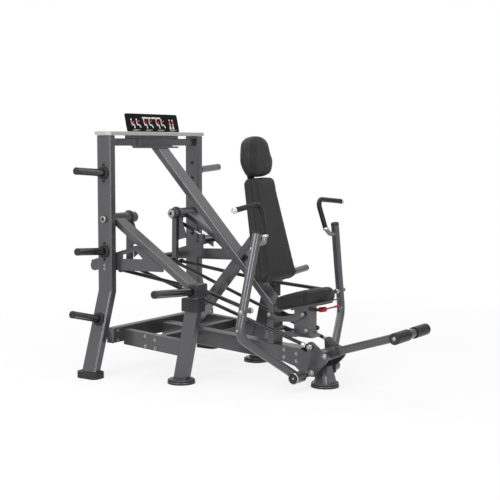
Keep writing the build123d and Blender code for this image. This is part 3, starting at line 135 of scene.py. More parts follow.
class Finish(Graph):
    """One material: a Principled shader with its fixed values, and the fields that feed it."""

    def __init__(self, name, fixed=None):
        self.material = bpy.data.materials.new("finish_" + name)
        super().__init__(self.material)
        self.shader = self.node("ShaderNodeBsdfPrincipled", {}, fixed)
        self.place = self.node("ShaderNodeTexCoord", output="Object")

    def feed(self, socket, field):
        """Link a field to a socket of the shader."""
        self.tree.links.new(field.socket, self.shader.socket.node.inputs[socket])

    def done(self, surface=None):
        """The material, with its shader, or another one over it, as its surface."""
        self.node("ShaderNodeOutputMaterial", {}, {"Surface": surface or self.shader})
        return self.material

    def noise(self, scale, detail=3.0, stretch=(1, 1, 1)):
        """Cloudy noise from 0 to 1, with `scale` clouds to the metre."""
        place = self.node("ShaderNodeMapping", {}, {"Vector": self.place, "Scale": stretch})
        return self.node("ShaderNodeTexNoise", {}, {"Vector": place, "Scale": scale, "Detail": detail})

    def cells(self, scale, feature="F1"):
        """Distance inside a pattern of small cells."""
        return self.node("ShaderNodeTexVoronoi", {"feature": feature}, {"Vector": self.place, "Scale": scale})

    def tint(self, share, first, second):
        """First colour where share is 0 and second where it is 1."""
        colours = {0: share}
        for index, colour in ((6, first), (7, second)):
            colours[index] = colour if isinstance(colour, Field) else (*colour[:3], 1)
        return self.node("ShaderNodeMix", {"data_type": "RGBA"}, colours, 2)

    def bump(self, height, depth, under=None):
        """Normal of a relief of that depth in metres."""
        values = {"Height": height, "Distance": depth}
        if under:
            values["Normal"] = under
        return self.node("ShaderNodeBump", {}, values)

    def edges(self, radius):
        """Normal with its edges eased to the radius, and a mask of those edges."""
        eased = self.node("ShaderNodeBevel", {"samples": 6}, {"Radius": radius})
        flat = self.node("ShaderNodeNewGeometry", output="Normal")
        pair = {0: eased, 1: flat}
        match = self.node("ShaderNodeVectorMath", {"operation": "DOT_PRODUCT"}, pair, "Value")
        return eased, 1 - match

    def upward(self):
        """How far the surface faces up, from -1 to 1."""
        flat = self.node("ShaderNodeNewGeometry", output="Normal")
        return self.node("ShaderNodeSeparateXYZ", {}, {"Vector": flat}, "Z")


def scaled(colour, factor):
    """Colour made lighter or darker by a factor."""
    return tuple(min(1.0, channel * factor) for channel in colour[:3])


# ------------------------------------------------------------------ finishes
def powder_coat(name, colour, sizes, metallic=0.55, roughness=0.26, dust_and_top_light=0.5):
    """Satin metallic powder coat: fine flake, orange peel, eased edges lightened by wear and by a painted
    edge highlight, and what faces up lightened by a dusty film and by painted top light.
    """
    coat = {"Specular IOR Level": 0.35, "Coat Weight": 0.2, "Coat Roughness": 0.16}
    finish = Finish(name, {"Metallic": metallic, **coat})
    eased, edge = finish.edges(sizes.edge_radius)
    flake = finish.noise(2600, 1.0).above(0.35, 0.75)
    cloud = finish.noise(7, 3.0)
    body = finish.tint(flake * 0.5 + cloud * 0.5, scaled(colour, 0.88), scaled(colour, 1.14))
    # Eased edges are lightened: partly wear, partly a painted edge highlight.
    edge_wear_and_highlight = edge.above(0.02, 0.3) * finish.noise(90, 4.0).above(0.25, 0.7)
    body = finish.tint(edge_wear_and_highlight * 0.22, body, scaled(colour, 1.5))
    # Surfaces that face up are lightened: partly a dusty film, partly painted light on the tops.
    settled = finish.upward().above(0.55, 0.98) * (finish.noise(34, 5.0) * 0.5 + 0.6) * dust_and_top_light
    body = finish.tint(settled * 0.5, body, sizes.dust_and_top_light_colour)
    finish.feed("Base Color", body)
    finish.feed("Roughness", settled * 0.2 + roughness + (finish.noise(21, 4.0) - 0.5) * 0.05)
    finish.feed("Normal", finish.bump(finish.noise(420, 2.0), 0.00001, eased))
    return finish.done()


def polished_metal(name, colour, sizes, roughness=0.1, turned=(1, 1, 1)):
    """Polished chrome or zinc with fine turning marks, finger smudges and darker pits."""
    finish = Finish(name, {"Metallic": 1.0})
    eased, edge = finish.edges(sizes.edge_radius * 0.5)
    marks = finish.noise(900, 2.0, turned)
    smudge = finish.noise(26, 4.0).above(0.42, 0.7)
    finish.feed("Base Color", finish.tint(smudge * 0.5 + marks * 0.2, colour, scaled(colour, 0.72)))
    finish.feed("Roughness", smudge * 0.1 + marks * 0.06 + edge * 0.1 + roughness)
    finish.feed("Normal", finish.bump(marks, 0.00003, eased))
    return finish.done()


def lacquer(name, colour, sizes, roughness=0.2):
    """Deep gloss coat over a drawn rod, with dusty specks and hairline scratches."""
    finish = Finish(name, {"Coat Weight": 0.25, "Coat Roughness": 0.1, "Specular IOR Level": 0.25})
    eased, edge = finish.edges(sizes.edge_radius * 0.6)
    scratches = finish.noise(260, 5.0, (1.0, 0.12, 0.12)).above(0.6, 0.8)
    specks = finish.cells(700).above(0.02, 0.12)
    body = finish.tint(scratches * 0.3 + edge * 0.3, colour, scaled(colour, 2.4))
    finish.feed("Base Color", finish.tint(specks, scaled(colour, 5), body))
    finish.feed("Roughness", scratches * 0.16 + finish.noise(40, 3.0) * 0.08 + roughness)
    finish.feed("Normal", finish.bump(finish.noise(300, 2.0), 0.00006, eased))
    return finish.done()


def moulded_rubber(name, colour, sizes, roughness=0.62, grain=1300, depth=0.00018, shine=0.4):
    """Black rubber with a fine moulded grain, pale scuffs on its edges and cloudy lighter and darker patches.
    """
    finish = Finish(name, {"Specular IOR Level": shine})
    eased, edge = finish.edges(sizes.edge_radius)
    pores = finish.cells(grain)
    patches = finish.noise(30, 5.0)
    scuffs = edge.above(0.03, 0.35) * finish.noise(130, 5.0).above(0.4, 0.7)
    body = finish.tint(patches, scaled(colour, 0.7), scaled(colour, 1.5))
    finish.feed("Base Color", finish.tint(scuffs * 0.4, body, scaled(colour, 5)))
    finish.feed("Roughness", patches * 0.18 + pores * 0.1 + roughness - 0.12)
    finish.feed("Normal", finish.bump(pores, depth, eased))
    return finish.done()


def leatherette(name, colour, sizes):
    """Grained vinyl: pebbled cells, fine creases, darker and duller hollows in the grain and a soft sheen of
    wear.
    """
    finish = Finish(name, {"Specular IOR Level": 0.34, "Sheen Weight": 0.02, "Sheen Roughness": 0.5})
    pebble = finish.cells(sizes.grain_cells, "DISTANCE_TO_EDGE").above(0.0, 0.35)
    fine = finish.cells(sizes.grain_cells * 2.7).above(0.1, 0.8)
    crease = finish.noise(75, 6.0, (1.0, 1.0, 0.35)).above(0.55, 0.75)
    mottle = finish.noise(16, 5.0)
    body = finish.tint(mottle, scaled(colour, 0.75), scaled(colour, 1.3))
    body = finish.tint((1 - pebble) * 0.5, body, scaled(colour, 0.45))
    finish.feed("Base Color", body)
    finish.feed("Roughness", mottle * 0.2 + (1 - pebble) * 0.15 + 0.34)
    relief = pebble * 0.6 + fine * 0.15 - crease * 0.35
    finish.feed("Normal", finish.bump(relief, 0.0009))
    return finish.done()


def sewing_thread(name, colour):
    """Twisted polyester thread."""
    finish = Finish(name, {"Roughness": 0.7, "Sheen Weight": 0.3})
    twist = finish.noise(1800, 2.0, (1.0, 0.4, 1.0))
    finish.feed("Base Color", finish.tint(twist, scaled(colour, 0.6), scaled(colour, 1.4)))
    finish.feed("Normal", finish.bump(twist, 0.0002))
    return finish.done()


def printed_ink(name, colour):
    """Screen-printed ink with a slightly uneven coat."""
    finish = Finish(name, {"Specular IOR Level": 0.4})
    coat = finish.noise(400, 3.0)
    finish.feed("Base Color", finish.tint(coat, scaled(colour, 0.86), colour))
    finish.feed("Roughness", coat * 0.2 + 0.35)
    return finish.done()


def make_finishes(sizes, colours):
    """Every finish of the machine."""
    brushed = (0.2, 1, 1)
    powder_coat("frame_paint", colours.frame, sizes)
    powder_coat("handle_paint", colours.handle, sizes, metallic=0.6, roughness=0.3, dust_and_top_light=0.1)
    powder_coat("top_silver", colours.top, sizes, metallic=0.3, roughness=0.46, dust_and_top_light=0.15)
    powder_coat("release_red", colours.release, sizes, metallic=0.1, roughness=0.3, dust_and_top_light=0.0)
    moulded_rubber("panel_face", colours.panel, sizes, roughness=0.85, grain=2400, depth=0.00004, shine=0.02)
    moulded_rubber("black_rubber", colours.rubber, sizes, shine=0.25)
    moulded_rubber("grip_rubber", colours.grip, sizes, roughness=0.36, grain=900, shine=0.22)
    polished_metal("chrome", colours.chrome, sizes, roughness=0.09, turned=brushed)
    # The horns and storage sleeves get a chrome made darker: painted shade for the dark surroundings they
    # reflect.
    polished_metal("horn_chrome", colours.horn, sizes, roughness=0.12, turned=brushed)
    polished_metal("zinc", colours.zinc, sizes, roughness=0.24)
    lacquer("black_lacquer", colours.rod, sizes)
    leatherette("upholstery", colours.upholstery, sizes)
    sewing_thread("thread", colours.thread)
    printed_ink("print_white", colours.print_white)
    printed_ink("print_red", colours.print_red)


def finish_of(name):
    """Finish made earlier, by its name."""
    material = bpy.data.materials.get("finish_" + name)
    if material is None:
        raise RuntimeError(f"finish {name} is made by the finishes operator, which runs first")
    return material


# ------------------------------------------------------------------ pieces
def add_piece(name, mesh, finish, body):
    """A finished piece that rides on a body."""
    mesh.materials.clear()
    mesh.materials.append(finish_of(finish))
    piece = bpy.data.objects.new(name, mesh)
    bpy.context.scene.collection.objects.link(piece)
    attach(piece, body)
    return piece


SHARP_ANGLE = math.radians(50)


def mesh_of(shape, name, smooth=True):
    """Mesh from bmesh work, with outward faces."""
    bmesh.ops.recalc_face_normals(shape, faces=shape.faces[:])
    mesh = bpy.data.meshes.new(name)
    shape.to_mesh(mesh)
    shape.free()
    mesh.polygons.foreach_set("use_smooth", [smooth] * len(mesh.polygons))
    if smooth:
        mesh.set_sharp_from_angle(angle=SHARP_ANGLE)
    return mesh


def ring(shape, centre, along, across, radius, sides):
    """Circle of vertices about a centre, in the plane of two directions."""
    turns = [2 * math.pi * k / sides for k in range(sides)]
    return [shape.verts.new(centre + (along * math.cos(t) + across * math.sin(t)) * radius) for t in turns]


def bridge(shape, first, second):
    """Quads between two rings of the same count."""
    for k in range(len(first)):
        shape.faces.new((first[k - 1], first[k], second[k], second[k - 1]))


def turned_piece(shape, base, axis, profile, sides=32):
    """Body of revolution: profile lists (distance along the axis, radius) and is closed where it ends."""
    along = axis.orthogonal().normalized()
    across = axis.cross(along)
    loop = profile[0] == profile[-1]
    steps = [step for step in (profile[:-1] if loop else profile) if step[1] > 0]
    rings = [ring(shape, base + axis * step, along, across, radius, sides) for step, radius in steps]
    for first, second in zip(rings, rings[1:] + (rings[:1] if loop else [])):
        bridge(shape, first, second)
    if loop:
        return
    shape.faces.new(rings[0])
    if profile[-1][1] > 0:
        shape.faces.new(rings[-1])
        return
    tip = shape.verts.new(base + axis * profile[-1][0])
    for k in range(sides):
        shape.faces.new((rings[-1][k - 1], rings[-1][k], tip))


def arc(centre, radius, first, last, count):
    """Points (distance, radius) of a rounded edge in a turned profile, angles in degrees."""
    steps = [math.radians(first + (last - first) * k / count) for k in range(count + 1)]
    return [(centre[0] + radius * math.sin(t), centre[1] + radius * math.cos(t)) for t in steps]


# ------------------------------------------------------------------ cushions
AWAY = -0.5
SAME_PLANE = 0.999


class Cushion:
    """Place of a cushion: its board plane, with u across, v along and d out from the board."""

    def __init__(self, node, facing):
        self.node = node
        mesh = NODES[node].data
        flats = {}
        for face in mesh.polygons:
            if face.normal.dot(facing) < AWAY:
                key = tuple(round(x, 2) for x in face.normal)
                flats[key] = flats.get(key, 0) + face.area
        back = Vector(max(flats, key=flats.get)).normalized()
        on_board = [f for f in mesh.polygons if f.normal.dot(back) > SAME_PLANE]
        area = sum(f.area for f in on_board)
        self.origin = sum((f.center * f.area for f in on_board), Vector()) / area
        self.out = -back
        self.across = Vector((1, 0, 0))
        self.along = self.out.cross(self.across)
        self.thickness = max((v.co - self.origin).dot(self.out) for v in mesh.vertices)
        reach = [(v.co - self.origin).dot(self.along) for v in mesh.vertices]
        self.low = min(reach)
        self.high = max(reach)

    def local(self, point):
        """Distances (u, v, d) of a point."""
        away = point - self.origin
        return away.dot(self.across), away.dot(self.along), away.dot(self.out)

    def world(self, u, v, d):
        """Point at the distances (u, v, d)."""
        return self.origin + self.across * u + self.along * v + self.out * d


def reshape(mesh, place, rule):
    """Move every vertex by a rule on its local coordinates."""
    for vertex in mesh.vertices:
        vertex.co = place.world(*rule(*place.local(vertex.co)))


def modified(source, name, kind, **settings):
    """Mesh of an object with one modifier applied."""
    modifier = source.modifiers.new(kind.lower(), kind)
    for setting, value in settings.items():
        setattr(modifier, setting, value)
    graph = bpy.context.evaluated_depsgraph_get()
    mesh = bpy.data.meshes.new_from_object(source.evaluated_get(graph))
    mesh.name = name
    source.modifiers.remove(modifier)
    return mesh


def inflate(blank, place, sizes, cap):
    """Foam pressing its cover outwards: a short cloth run held at the board, with the swelling capped."""
    board = blank.vertex_groups.new(name="board")
    held = [v.index for v in blank.data.vertices if place.local(v.co)[2] < sizes.board_grip]
    board.add(held, 1.0, "REPLACE")
    cloth = blank.modifiers.new("cover", "CLOTH")
    cloth.settings.use_pressure = True
    cloth.settings.uniform_pressure_force = sizes.pressure
    cloth.settings.effector_weights.gravity = 0.0
    cloth.settings.vertex_group_mass = "board"
    cloth.collision_settings.use_collision = False
    cloth.point_cache.frame_end = sizes.cloth_frames
    start = [v.co.copy() for v in blank.data.vertices]
    for step in range(1, sizes.cloth_frames + 1):
        bpy.context.scene.frame_set(step)
    settled = blank.evaluated_get(bpy.context.evaluated_depsgraph_get()).to_mesh()
    moved = [v.co.copy() for v in settled.vertices]
    blank.modifiers.remove(cloth)
    bpy.context.scene.frame_set(1)
    for vertex, before, after in zip(blank.data.vertices, start, moved):
        step = after - before
        if step.length > 0:
            vertex.co = before + step * (cap * math.tanh(step.length / cap) / step.length)


def sew(mesh, place, seams, sizes):
    """Pull the cover in along each seam, given as a distance from the board."""
    normals = [v.normal.copy() for v in mesh.vertices]
    for vertex, normal in zip(mesh.vertices, normals):
        depth = place.local(vertex.co)[2]
        side = normal - place.out * normal.dot(place.out)
        pull = sum(math.exp(-(((depth - seam) / sizes.seam_width) ** 2)) for seam in seams)
        vertex.co = vertex.co - side * (sizes.seam_depth * pull)


def make_cushion(name, place, rule, cap, seams, body, sizes, ease=0):
    """Cushion grown from its plain solid: remeshed, shaped, inflated, subdivided and sewn."""
    source = NODES[place.node]
    blank = bpy.data.objects.new(name + "_blank", source.data.copy())
    bpy.context.scene.collection.objects.link(blank)
    step = sizes.voxel
    blank.data = modified(blank, name, "REMESH", mode="VOXEL", voxel_size=step, use_smooth_shade=True)
    if ease:
        blank.data = modified(blank, name, "SMOOTH", factor=0.5, iterations=ease)
    reshape(blank.data, place, rule)
    inflate(blank, place, sizes, cap)
    mesh = modified(blank, name, "SUBSURF", levels=1, render_levels=1)
    bpy.data.objects.remove(blank)
    sew(mesh, place, seams, sizes)
    cushion = add_piece(name, mesh, "upholstery", body)
    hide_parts(place.node)
    return cushion


def perimeter(mesh, place, depth, step):
    """Even points on the closed line round a cushion at one distance from its board."""
    shape = bmesh.new()
    shape.from_mesh(mesh)
    everything = shape.verts[:] + shape.edges[:] + shape.faces[:]
    height = place.world(0, 0, depth)
    cut = bmesh.ops.bisect_plane(shape, geom=everything, plane_co=height, plane_no=place.out)
    spots = [place.local(g.co) for g in cut["geom_cut"] if isinstance(g, bmesh.types.BMVert)]
    shape.free()
    middle_v = (place.low + place.high) / 2
    spots.sort(key=lambda s: math.atan2(s[1] - middle_v, s[0]))
    line = [place.world(*s) for s in spots]
    lengths = [0.0]
    for first, second in zip(line, line[1:] + line[:1]):
        lengths.append(lengths[-1] + (second - first).length)
    count = int(lengths[-1] / step)
    even, index = [], 0
    for k in range(count):
        goal = lengths[-1] * k / count
        while lengths[index + 1] < goal:
            index += 1
        share = (goal - lengths[index]) / max(lengths[index + 1] - lengths[index], 1e-9)
        even.append(line[index].lerp(line[(index + 1) % len(line)], share))
    return even


WELT_LIFT = 0.4
WELT_SIDES = 8


def welt(name, points, place, sizes, body):
    """Piping sewn into a seam."""
    shape = bmesh.new()
    count = len(points)
    rings = []
    for k, point in enumerate(points):
        run = (points[(k + 1) % count] - points[k - 1]).normalized()
        side = run.cross(place.out).normalized()
        centre = point + side * sizes.welt_radius * WELT_LIFT
        rings.append(ring(shape, centre, side, place.out, sizes.welt_radius, WELT_SIDES))
    for k in range(count):
        bridge(shape, rings[k - 1], rings[k])
    return add_piece(name, mesh_of(shape, name), "upholstery", body)


THREAD_LIFT = 0.6
THREAD_SIDES = 6
THREAD_SHAPE = ((0, 0.55), (0.25, 1.0), (0.75, 1.0), (1, 0.55))


def stitches(name, points, place, sizes, body):
    """Short runs of thread along a line on the cover."""
    shape = bmesh.new()
    for first, second in zip(points[0::2], points[1::2]):
        run = (second - first).normalized()
        side = run.cross(place.out).normalized()
        lift = side * sizes.thread_radius * THREAD_LIFT
        ends = []
        for share, radius in THREAD_SHAPE:
            centre = first.lerp(second, share) + lift * radius
            ends.append(ring(shape, centre, side, place.out, sizes.thread_radius * radius, THREAD_SIDES))
        for before, after in zip(ends, ends[1:]):
            bridge(shape, before, after)
        shape.faces.new(ends[0])
        shape.faces.new(list(reversed(ends[-1])))
    return add_piece(name, mesh_of(shape, name), "thread", body)


def trim_cushion(cushion, place, seams, sizes, body):
    """Piping in the first seam, and a row of stitches below it."""
    piping = perimeter(cushion.data, place, seams[0], sizes.welt_step)
    welt(cushion.name + "_welt", piping, place, sizes, body)
    row = perimeter(cushion.data, place, seams[0] - sizes.stitch_offset, sizes.stitch_length)
    stitches(cushion.name + "_stitches", row, place, sizes, body)


def rolled_end(place, radius):
    """Rule that rolls the low front edge of a cushion under, to a radius."""
    def rule(u, v, d):
        reach = min(max((v - place.low) / radius, 0.0), 1.0)
        drop = radius * (1 - math.sqrt(1 - (1 - reach) ** 2))
        return u, v, d - drop * (d / place.thickness) ** 2
    return rule


WING_DROP = 0.1
WING_SPREAD = 0.26
WING_EASE = 0.01
WING_PRESS = 0.45


def winged_head(place, sizes):
    """Rule that flattens both sides of the head cushion and hollows an oval in each."""
    widest = max(abs(place.local(v.co)[0]) for v in NODES[place.node].data.vertices)
    flat = widest * sizes.wing_flat * sizes.head_fullness

    def rule(u, v, d):
        middle = (place.low + place.high) / 2 - WING_DROP * (place.high - place.low)
        u, v = u * sizes.head_fullness, middle + (v - middle) * (0.4 + 0.6 * sizes.head_fullness)
        rise, depth = (v - middle) / sizes.wing_height, (d / place.thickness - 0.5) / WING_SPREAD
        oval = math.exp(-(rise ** 2) - depth ** 2)
        over = max(abs(u) - flat, 0.0)
        if over > 0:
            hollow = sizes.wing_depth * oval * min(over / WING_EASE, 1.0)
            u = math.copysign(flat + over * WING_PRESS - hollow, u)
        return u, v, d
    return rule


SEAT_NOSE = -0.05
SEAT_NOSE_SHORTER = 0.2
SEAT_FOLDS = ((0.124, -0.118), (0.156, -0.052), (0.136, 0.178))
FOLD_WIDTH = 0.014
FOLD_ACROSS = 0.005
FOLD_ALONG = 0.002
SEAT_CROWN_REACH = (0.16, 0.2)


def crowned_seat(place, depth):
    """Rule that shortens the seat's nose, crowns its middle and folds its side wall."""
    def rule(u, v, d):
        v += max(SEAT_NOSE - v, 0.0) * SEAT_NOSE_SHORTER
        for fold_u, fold_v in SEAT_FOLDS:
            near = math.exp(-((abs(u) - fold_u) ** 2 + (v - fold_v) ** 2) / FOLD_WIDTH ** 2)
            u -= math.copysign(FOLD_ACROSS * near, u)
            v -= math.copysign(FOLD_ALONG * near, v)
        across, along = [math.cos(min(abs(x) / reach, 1.0) * math.pi / 2)
                         for x, reach in zip((u, v), SEAT_CROWN_REACH)]
        return u, v, d + depth * across * along * (d / place.thickness) ** 2
    return rule


# ------------------------------------------------------------------ hardware
def dome(radius, height, washer, skirt):
    """Profile of a domed bolt head on a washer whose skirt reaches back over the boss under it."""
    profile = [(-skirt, washer), (0.0012, washer), (0.0018, washer - 0.0007), (0.0018, radius)]
    for turn in (0, 20, 40, 58, 74):
        t = math.radians(turn)
        profile.append((0.003 + height * math.sin(t), radius * math.cos(t)))
    return profile + [(0.003 + height, 0)]


def socket_screw(radius, height):
    """Profile of a cap screw with a round recess."""
    well, rim, lip = radius * 0.52, 0.0012, 0.0005
    return [(-0.001, radius), (height - rim, radius), (height, radius - rim), (height, well + lip),
            (height - lip, well), (height * 0.3, well), (height * 0.3, 0)]


def band(radius, low, high, inner):
    """Closed profile of a ring with rounded shoulders."""
    ease = min((high - low) * 0.35, (radius - inner) * 0.8, 0.004)
    steps = [(low, inner)]
    for end, way, turns in ((low, 1, (90, 60, 30, 0)), (high, -1, (0, 30, 60, 90))):
        for turn in turns:
            t = math.radians(turn)
            steps.append((end + way * ease * (1 - math.sin(t)), radius - ease * (1 - math.cos(t))))
    return steps + [(high, inner), (low, inner)]


def sided(point, side):
    """Point of the +X half, taken to the chosen side."""
    return Vector((side * point[0], point[1], point[2]))


def fit_hardware(name, finish, body, entries):
    """One piece of turned hardware: entries list (point, axis, profile, sides)."""
    shape = bmesh.new()
    for point, axis, profile, sides in entries:
        turned_piece(shape, point, axis.normalized(), profile, sides)
    return add_piece(name, mesh_of(shape, name), finish, body)


SEAT_PIN_FACE = 0.0766
SEAT_REAR_PINS = ((-0.097, 0.446), (-0.126, 0.343))
SEAT_FRONT_PINS = ((-0.355, 0.470), (-0.384, 0.367))
SEAT_BOLT = dome(0.0098, 0.0062, 0.0145, 0.0058)
FOOT_SHAFT = (0.128, -0.456, 0.106)
FOOT_SHAFT_BOLT = dome(0.0125, 0.0075, 0.0205, 0.0065)
HORN_SPOTS = ((0.523, 0.941, 1.373), (0.523, 0.941, 0.843))
HORN_SCREW_RISE = 0.056
COLUMN_DEPTH = 0.063
PIVOT_FACES = (((0.200, 0.941, 1.061), -1, 0.0275), ((0.536, 0.941, 1.061), 1, 0.0235))
PIVOT_RECESS = 0.0105
FEET = ((-0.446, 0.347), (0.446, 0.347), (0.0, -0.487))
FOOT_FLANGE = [(0.0236, 0.0838), *arc((0.0268, 0.0808), 0.003, 0, 80, 4), (0.0302, 0.06)]
FOOT_RING = band(0.0908, 0.0108, 0.0132, 0.084)
RELEASE_ROOT = (0.040, -0.416, 0.4925)
RELEASE_BEND = (0.040, -0.466, 0.501)
RELEASE_SLEEVE = (0.017, 0.004)
LEVER_EAR = (0.152, -0.450, 0.275)
LEVER_CLAMP = (0.120, -0.548, 0.222)
ROLLER_END = (0.218, -1.090, 0.407)
ROLLER_DISH = 0.0034
ROLLER_CAP = [(-0.0005, 0.0352), (0.0016, 0.0352), *arc((0.0016, 0.0322), 0.003, 0, 70, 4),
              (0.0044, 0.024), (ROLLER_DISH, 0.0225), (ROLLER_DISH, 0)]
DRUM_FACE = (0.271, -0.411, 0.089)
GRIP_ENDS = (
    ((0.650, -0.224, 1.170), (0.301, -0.015, -0.028)),
    ((0.374, -0.261, 1.003), (0.025, -0.052, -0.195)),
)
GRIP_RING = (0.0202, -0.0008, 0.0148, 0.0105)
ARM_STUD = (0.6397, -0.261, 0.547)
ARM_SCREWS = ((0.6565, -0.246, 0.433), (0.534, -0.265, 0.93))
PRESS_EYE = ((0.535, -0.261, 0.547), (-0.189, 0.492, 0.064))
FOOT_EYE = ((0.135, -0.450, 0.275), (0.093, 1.402, 0.440))
EYE_RING = band(0.0192, -0.0106, 0.0106, 0.0086)
EYE_NECK = ((0.0175, 0.0108, 0.0105, 32), (0.028, 0.0162, 0.009, 6), (0.037, 0.0148, 0.024, 32))


def fit_frame_hardware():
    """Bolts, screws and washers that stand still."""
    bright, dark = [], []
    for side in SIDES.values():
        axis = Vector((side, 0, 0))
        for y, z in SEAT_REAR_PINS:
            bright.append((sided((SEAT_PIN_FACE, y, z), side), axis, SEAT_BOLT, 32))
        bright.append((sided(FOOT_SHAFT, side), axis, FOOT_SHAFT_BOLT, 32))
        for x, y, z in HORN_SPOTS:
            for rise in (-HORN_SCREW_RISE, HORN_SCREW_RISE):
                outer, inner = [sided((face, y, z + rise), side) for face in (x, x - COLUMN_DEPTH)]
                dark.append((outer, axis, socket_screw(0.0085, 0.007), 24))
                dark.append((inner, -axis, socket_screw(0.0105, 0.006), 24))
        for spot, way, rim in PIVOT_FACES:
            dark.append((sided(spot, side), axis * way, socket_screw(0.0115, 0.005), 32))
            bright.append((sided(spot, side), axis * way, band(rim, -0.012, 0.0028, PIVOT_RECESS), 40))
    fit_hardware("frame_dome_bolts", "zinc", "frame", bright)
    fit_hardware("frame_cap_screws", "black_rubber", "frame", dark)


def fit_feet():
    """Painted flange over each round foot and a bright ring between its two rubber steps."""
    up = Vector((0, 0, 1))
    spots = [Vector((x, y, 0)) for x, y in FEET]
    flanges = [(spot, up, FOOT_FLANGE, 64) for spot in spots]
    fit_hardware("foot_flanges", "frame_paint", "frame", flanges)
    fit_hardware("foot_rings", "zinc", "frame", [(spot, up, FOOT_RING, 64) for spot in spots])


def fit_seat_hardware():
    """Domed bolts at the front pins of the seat links."""
    bolts = []
    for side in SIDES.values():
        for y, z in SEAT_FRONT_PINS:
            bolts.append((sided((SEAT_PIN_FACE, y, z), side), Vector((side, 0, 0)), SEAT_BOLT, 32))
    fit_hardware("seat_dome_bolts", "zinc", "seat_carriage", bolts)


def fit_release_grip():
    """Red sleeve on the flat root of the seat's release lever."""
    start, end = Vector(RELEASE_ROOT), Vector(RELEASE_BEND)
    run = end - start
    outer, inner = RELEASE_SLEEVE
    sleeve = band(outer, 0.0, run.length, inner)
    fit_hardware("release_grip", "release_red", "release_lever", [(start, run, sleeve, 20)])


def fit_lever_hardware():
    """Nuts on the foot lever's ears and clamp, and the caps of its rollers."""
    nuts, caps, screws = [], [], []
    for side in SIDES.values():
        axis = Vector((side, 0, 0))
        nuts.append((sided(LEVER_EAR, side), axis, dome(0.0095, 0.007, 0.0142, 0.0062), 32))
        nuts.append((sided(LEVER_CLAMP, side), axis, dome(0.0115, 0.007, 0.018, 0.0008), 32))
        face = sided(ROLLER_END, side)
        caps.append((face, axis, ROLLER_CAP, 48))
        screws.append((face + axis * ROLLER_DISH, axis, dome(0.0085, 0.004, 0.0125, 0.0004), 24))
    fit_hardware("lever_nuts", "zinc", "foot_lever", nuts + screws)
    fit_hardware("roller_caps", "black_rubber", "foot_lever", caps)


def fit_arm_hardware(name, side):
    """Chrome ends of a handle's grip, ring on the drum, nut on the rod's stud and screws in the arm."""
    entries = []
    for place, direction in GRIP_ENDS:
        axis = sided(direction, side).normalized()
        entries.append((sided(place, side), axis, band(*GRIP_RING), 40))
    end, direction = GRIP_ENDS[0]
    axis = sided(direction, side).normalized()
    entries.append((sided(end, side) + axis * 0.0128, axis, dome(0.0062, 0.0032, 0.0108, 0.001), 24))
    face, axis = sided(DRUM_FACE, side), Vector((side, 0, 0))
    entries.append((face, axis, band(0.0376, -0.0062, 0.0006, 0.0335), 56))
    entries.append((face, axis, dome(0.0045, 0.002, 0.0062, 0.0008), 24))
    fit_hardware("arm_chrome_" + name, "chrome", "press_arm_" + name, entries)
    stud = [(sided(ARM_STUD, side), axis, dome(0.0105, 0.006, 0.0146, 0.006), 32)]
    stud += [(sided(spot, side), axis, dome(0.0058, 0.0035, 0.0082, 0.003), 24) for spot in ARM_SCREWS]
    fit_hardware("arm_nut_" + name, "zinc", "press_arm_" + name, stud)


def fit_rod_end(name, side, eye, body):
    """Bright eye and neck with a lock nut where a rod meets its stud."""
    point, run = sided(eye[0], side), sided(eye[1], side).normalized()
    entries = [(point, Vector((side, 0, 0)), EYE_RING, 40)]
    for start, radius, reach, sides in EYE_NECK:
        entries.append((point + run * start, run, band(radius, 0.0, reach, 0.002), sides))
    fit_hardware("rod_end_" + name, "chrome", body, entries)


# ------------------------------------------------------------------ printed board
def capsule(shape, frame_at, first, second, radius, lift, count=8):
    """Flat bar with round ends between two points of the board."""
    angle = math.atan2(second[1] - first[1], second[0] - first[0])
    rim = []
    for centre, start in ((first, angle + math.pi / 2), (second, angle - math.pi / 2)):
        for k in range(count + 1):
            turn = start + math.pi * k / count
            rim.append((centre[0] + radius * math.cos(turn), centre[1] + radius * math.sin(turn)))
    lower = [shape.verts.new(frame_at(x, y, 0)) for x, y in rim]
    upper = [shape.verts.new(frame_at(x, y, lift)) for x, y in rim]
    shape.faces.new(upper)
    shape.faces.new(list(reversed(lower)))
    bridge(shape, lower, upper)


FIGURE_SEATED = {
    "body": (((0.0, 0.0), (-0.1, 0.42)), ((0.0, 0.0), (0.34, 0.06)), ((0.34, 0.06), (0.4, -0.34))),
    "limbs": (((-0.08, 0.36), (0.16, 0.2)), ((0.16, 0.2), (0.34, 0.42))),
    "head": (-0.08, 0.64),
}
FIGURE_REACHING = {
    "body": (((0.0, 0.0), (-0.06, 0.42)), ((0.0, 0.0), (0.34, 0.04)), ((0.34, 0.04), (0.56, -0.26))),
    "limbs": (((-0.04, 0.36), (0.2, 0.42)), ((0.2, 0.42), (0.46, 0.5))),
    "head": (-0.04, 0.64),
}
FIGURE_STANDING = {
    "body": (((0.0, 0.05), (0.0, 0.42)), ((0.0, 0.05), (-0.1, -0.4)), ((0.0, 0.05), (0.1, -0.4))),
    "limbs": (((0.0, 0.38), (-0.16, 0.12)), ((0.0, 0.38), (0.16, 0.12))),
    "head": (0.0, 0.64),
}


def board_plane():
    """Function from (right, up, lift) on the board's face to a point."""
    board = Cushion("instruction_panel", Vector((0, -1, 0)))
    middle = (board.low + board.high) / 2

    def at(right, up, lift):
        return board.world(right, middle + up, board.thickness + lift)
    return board, at


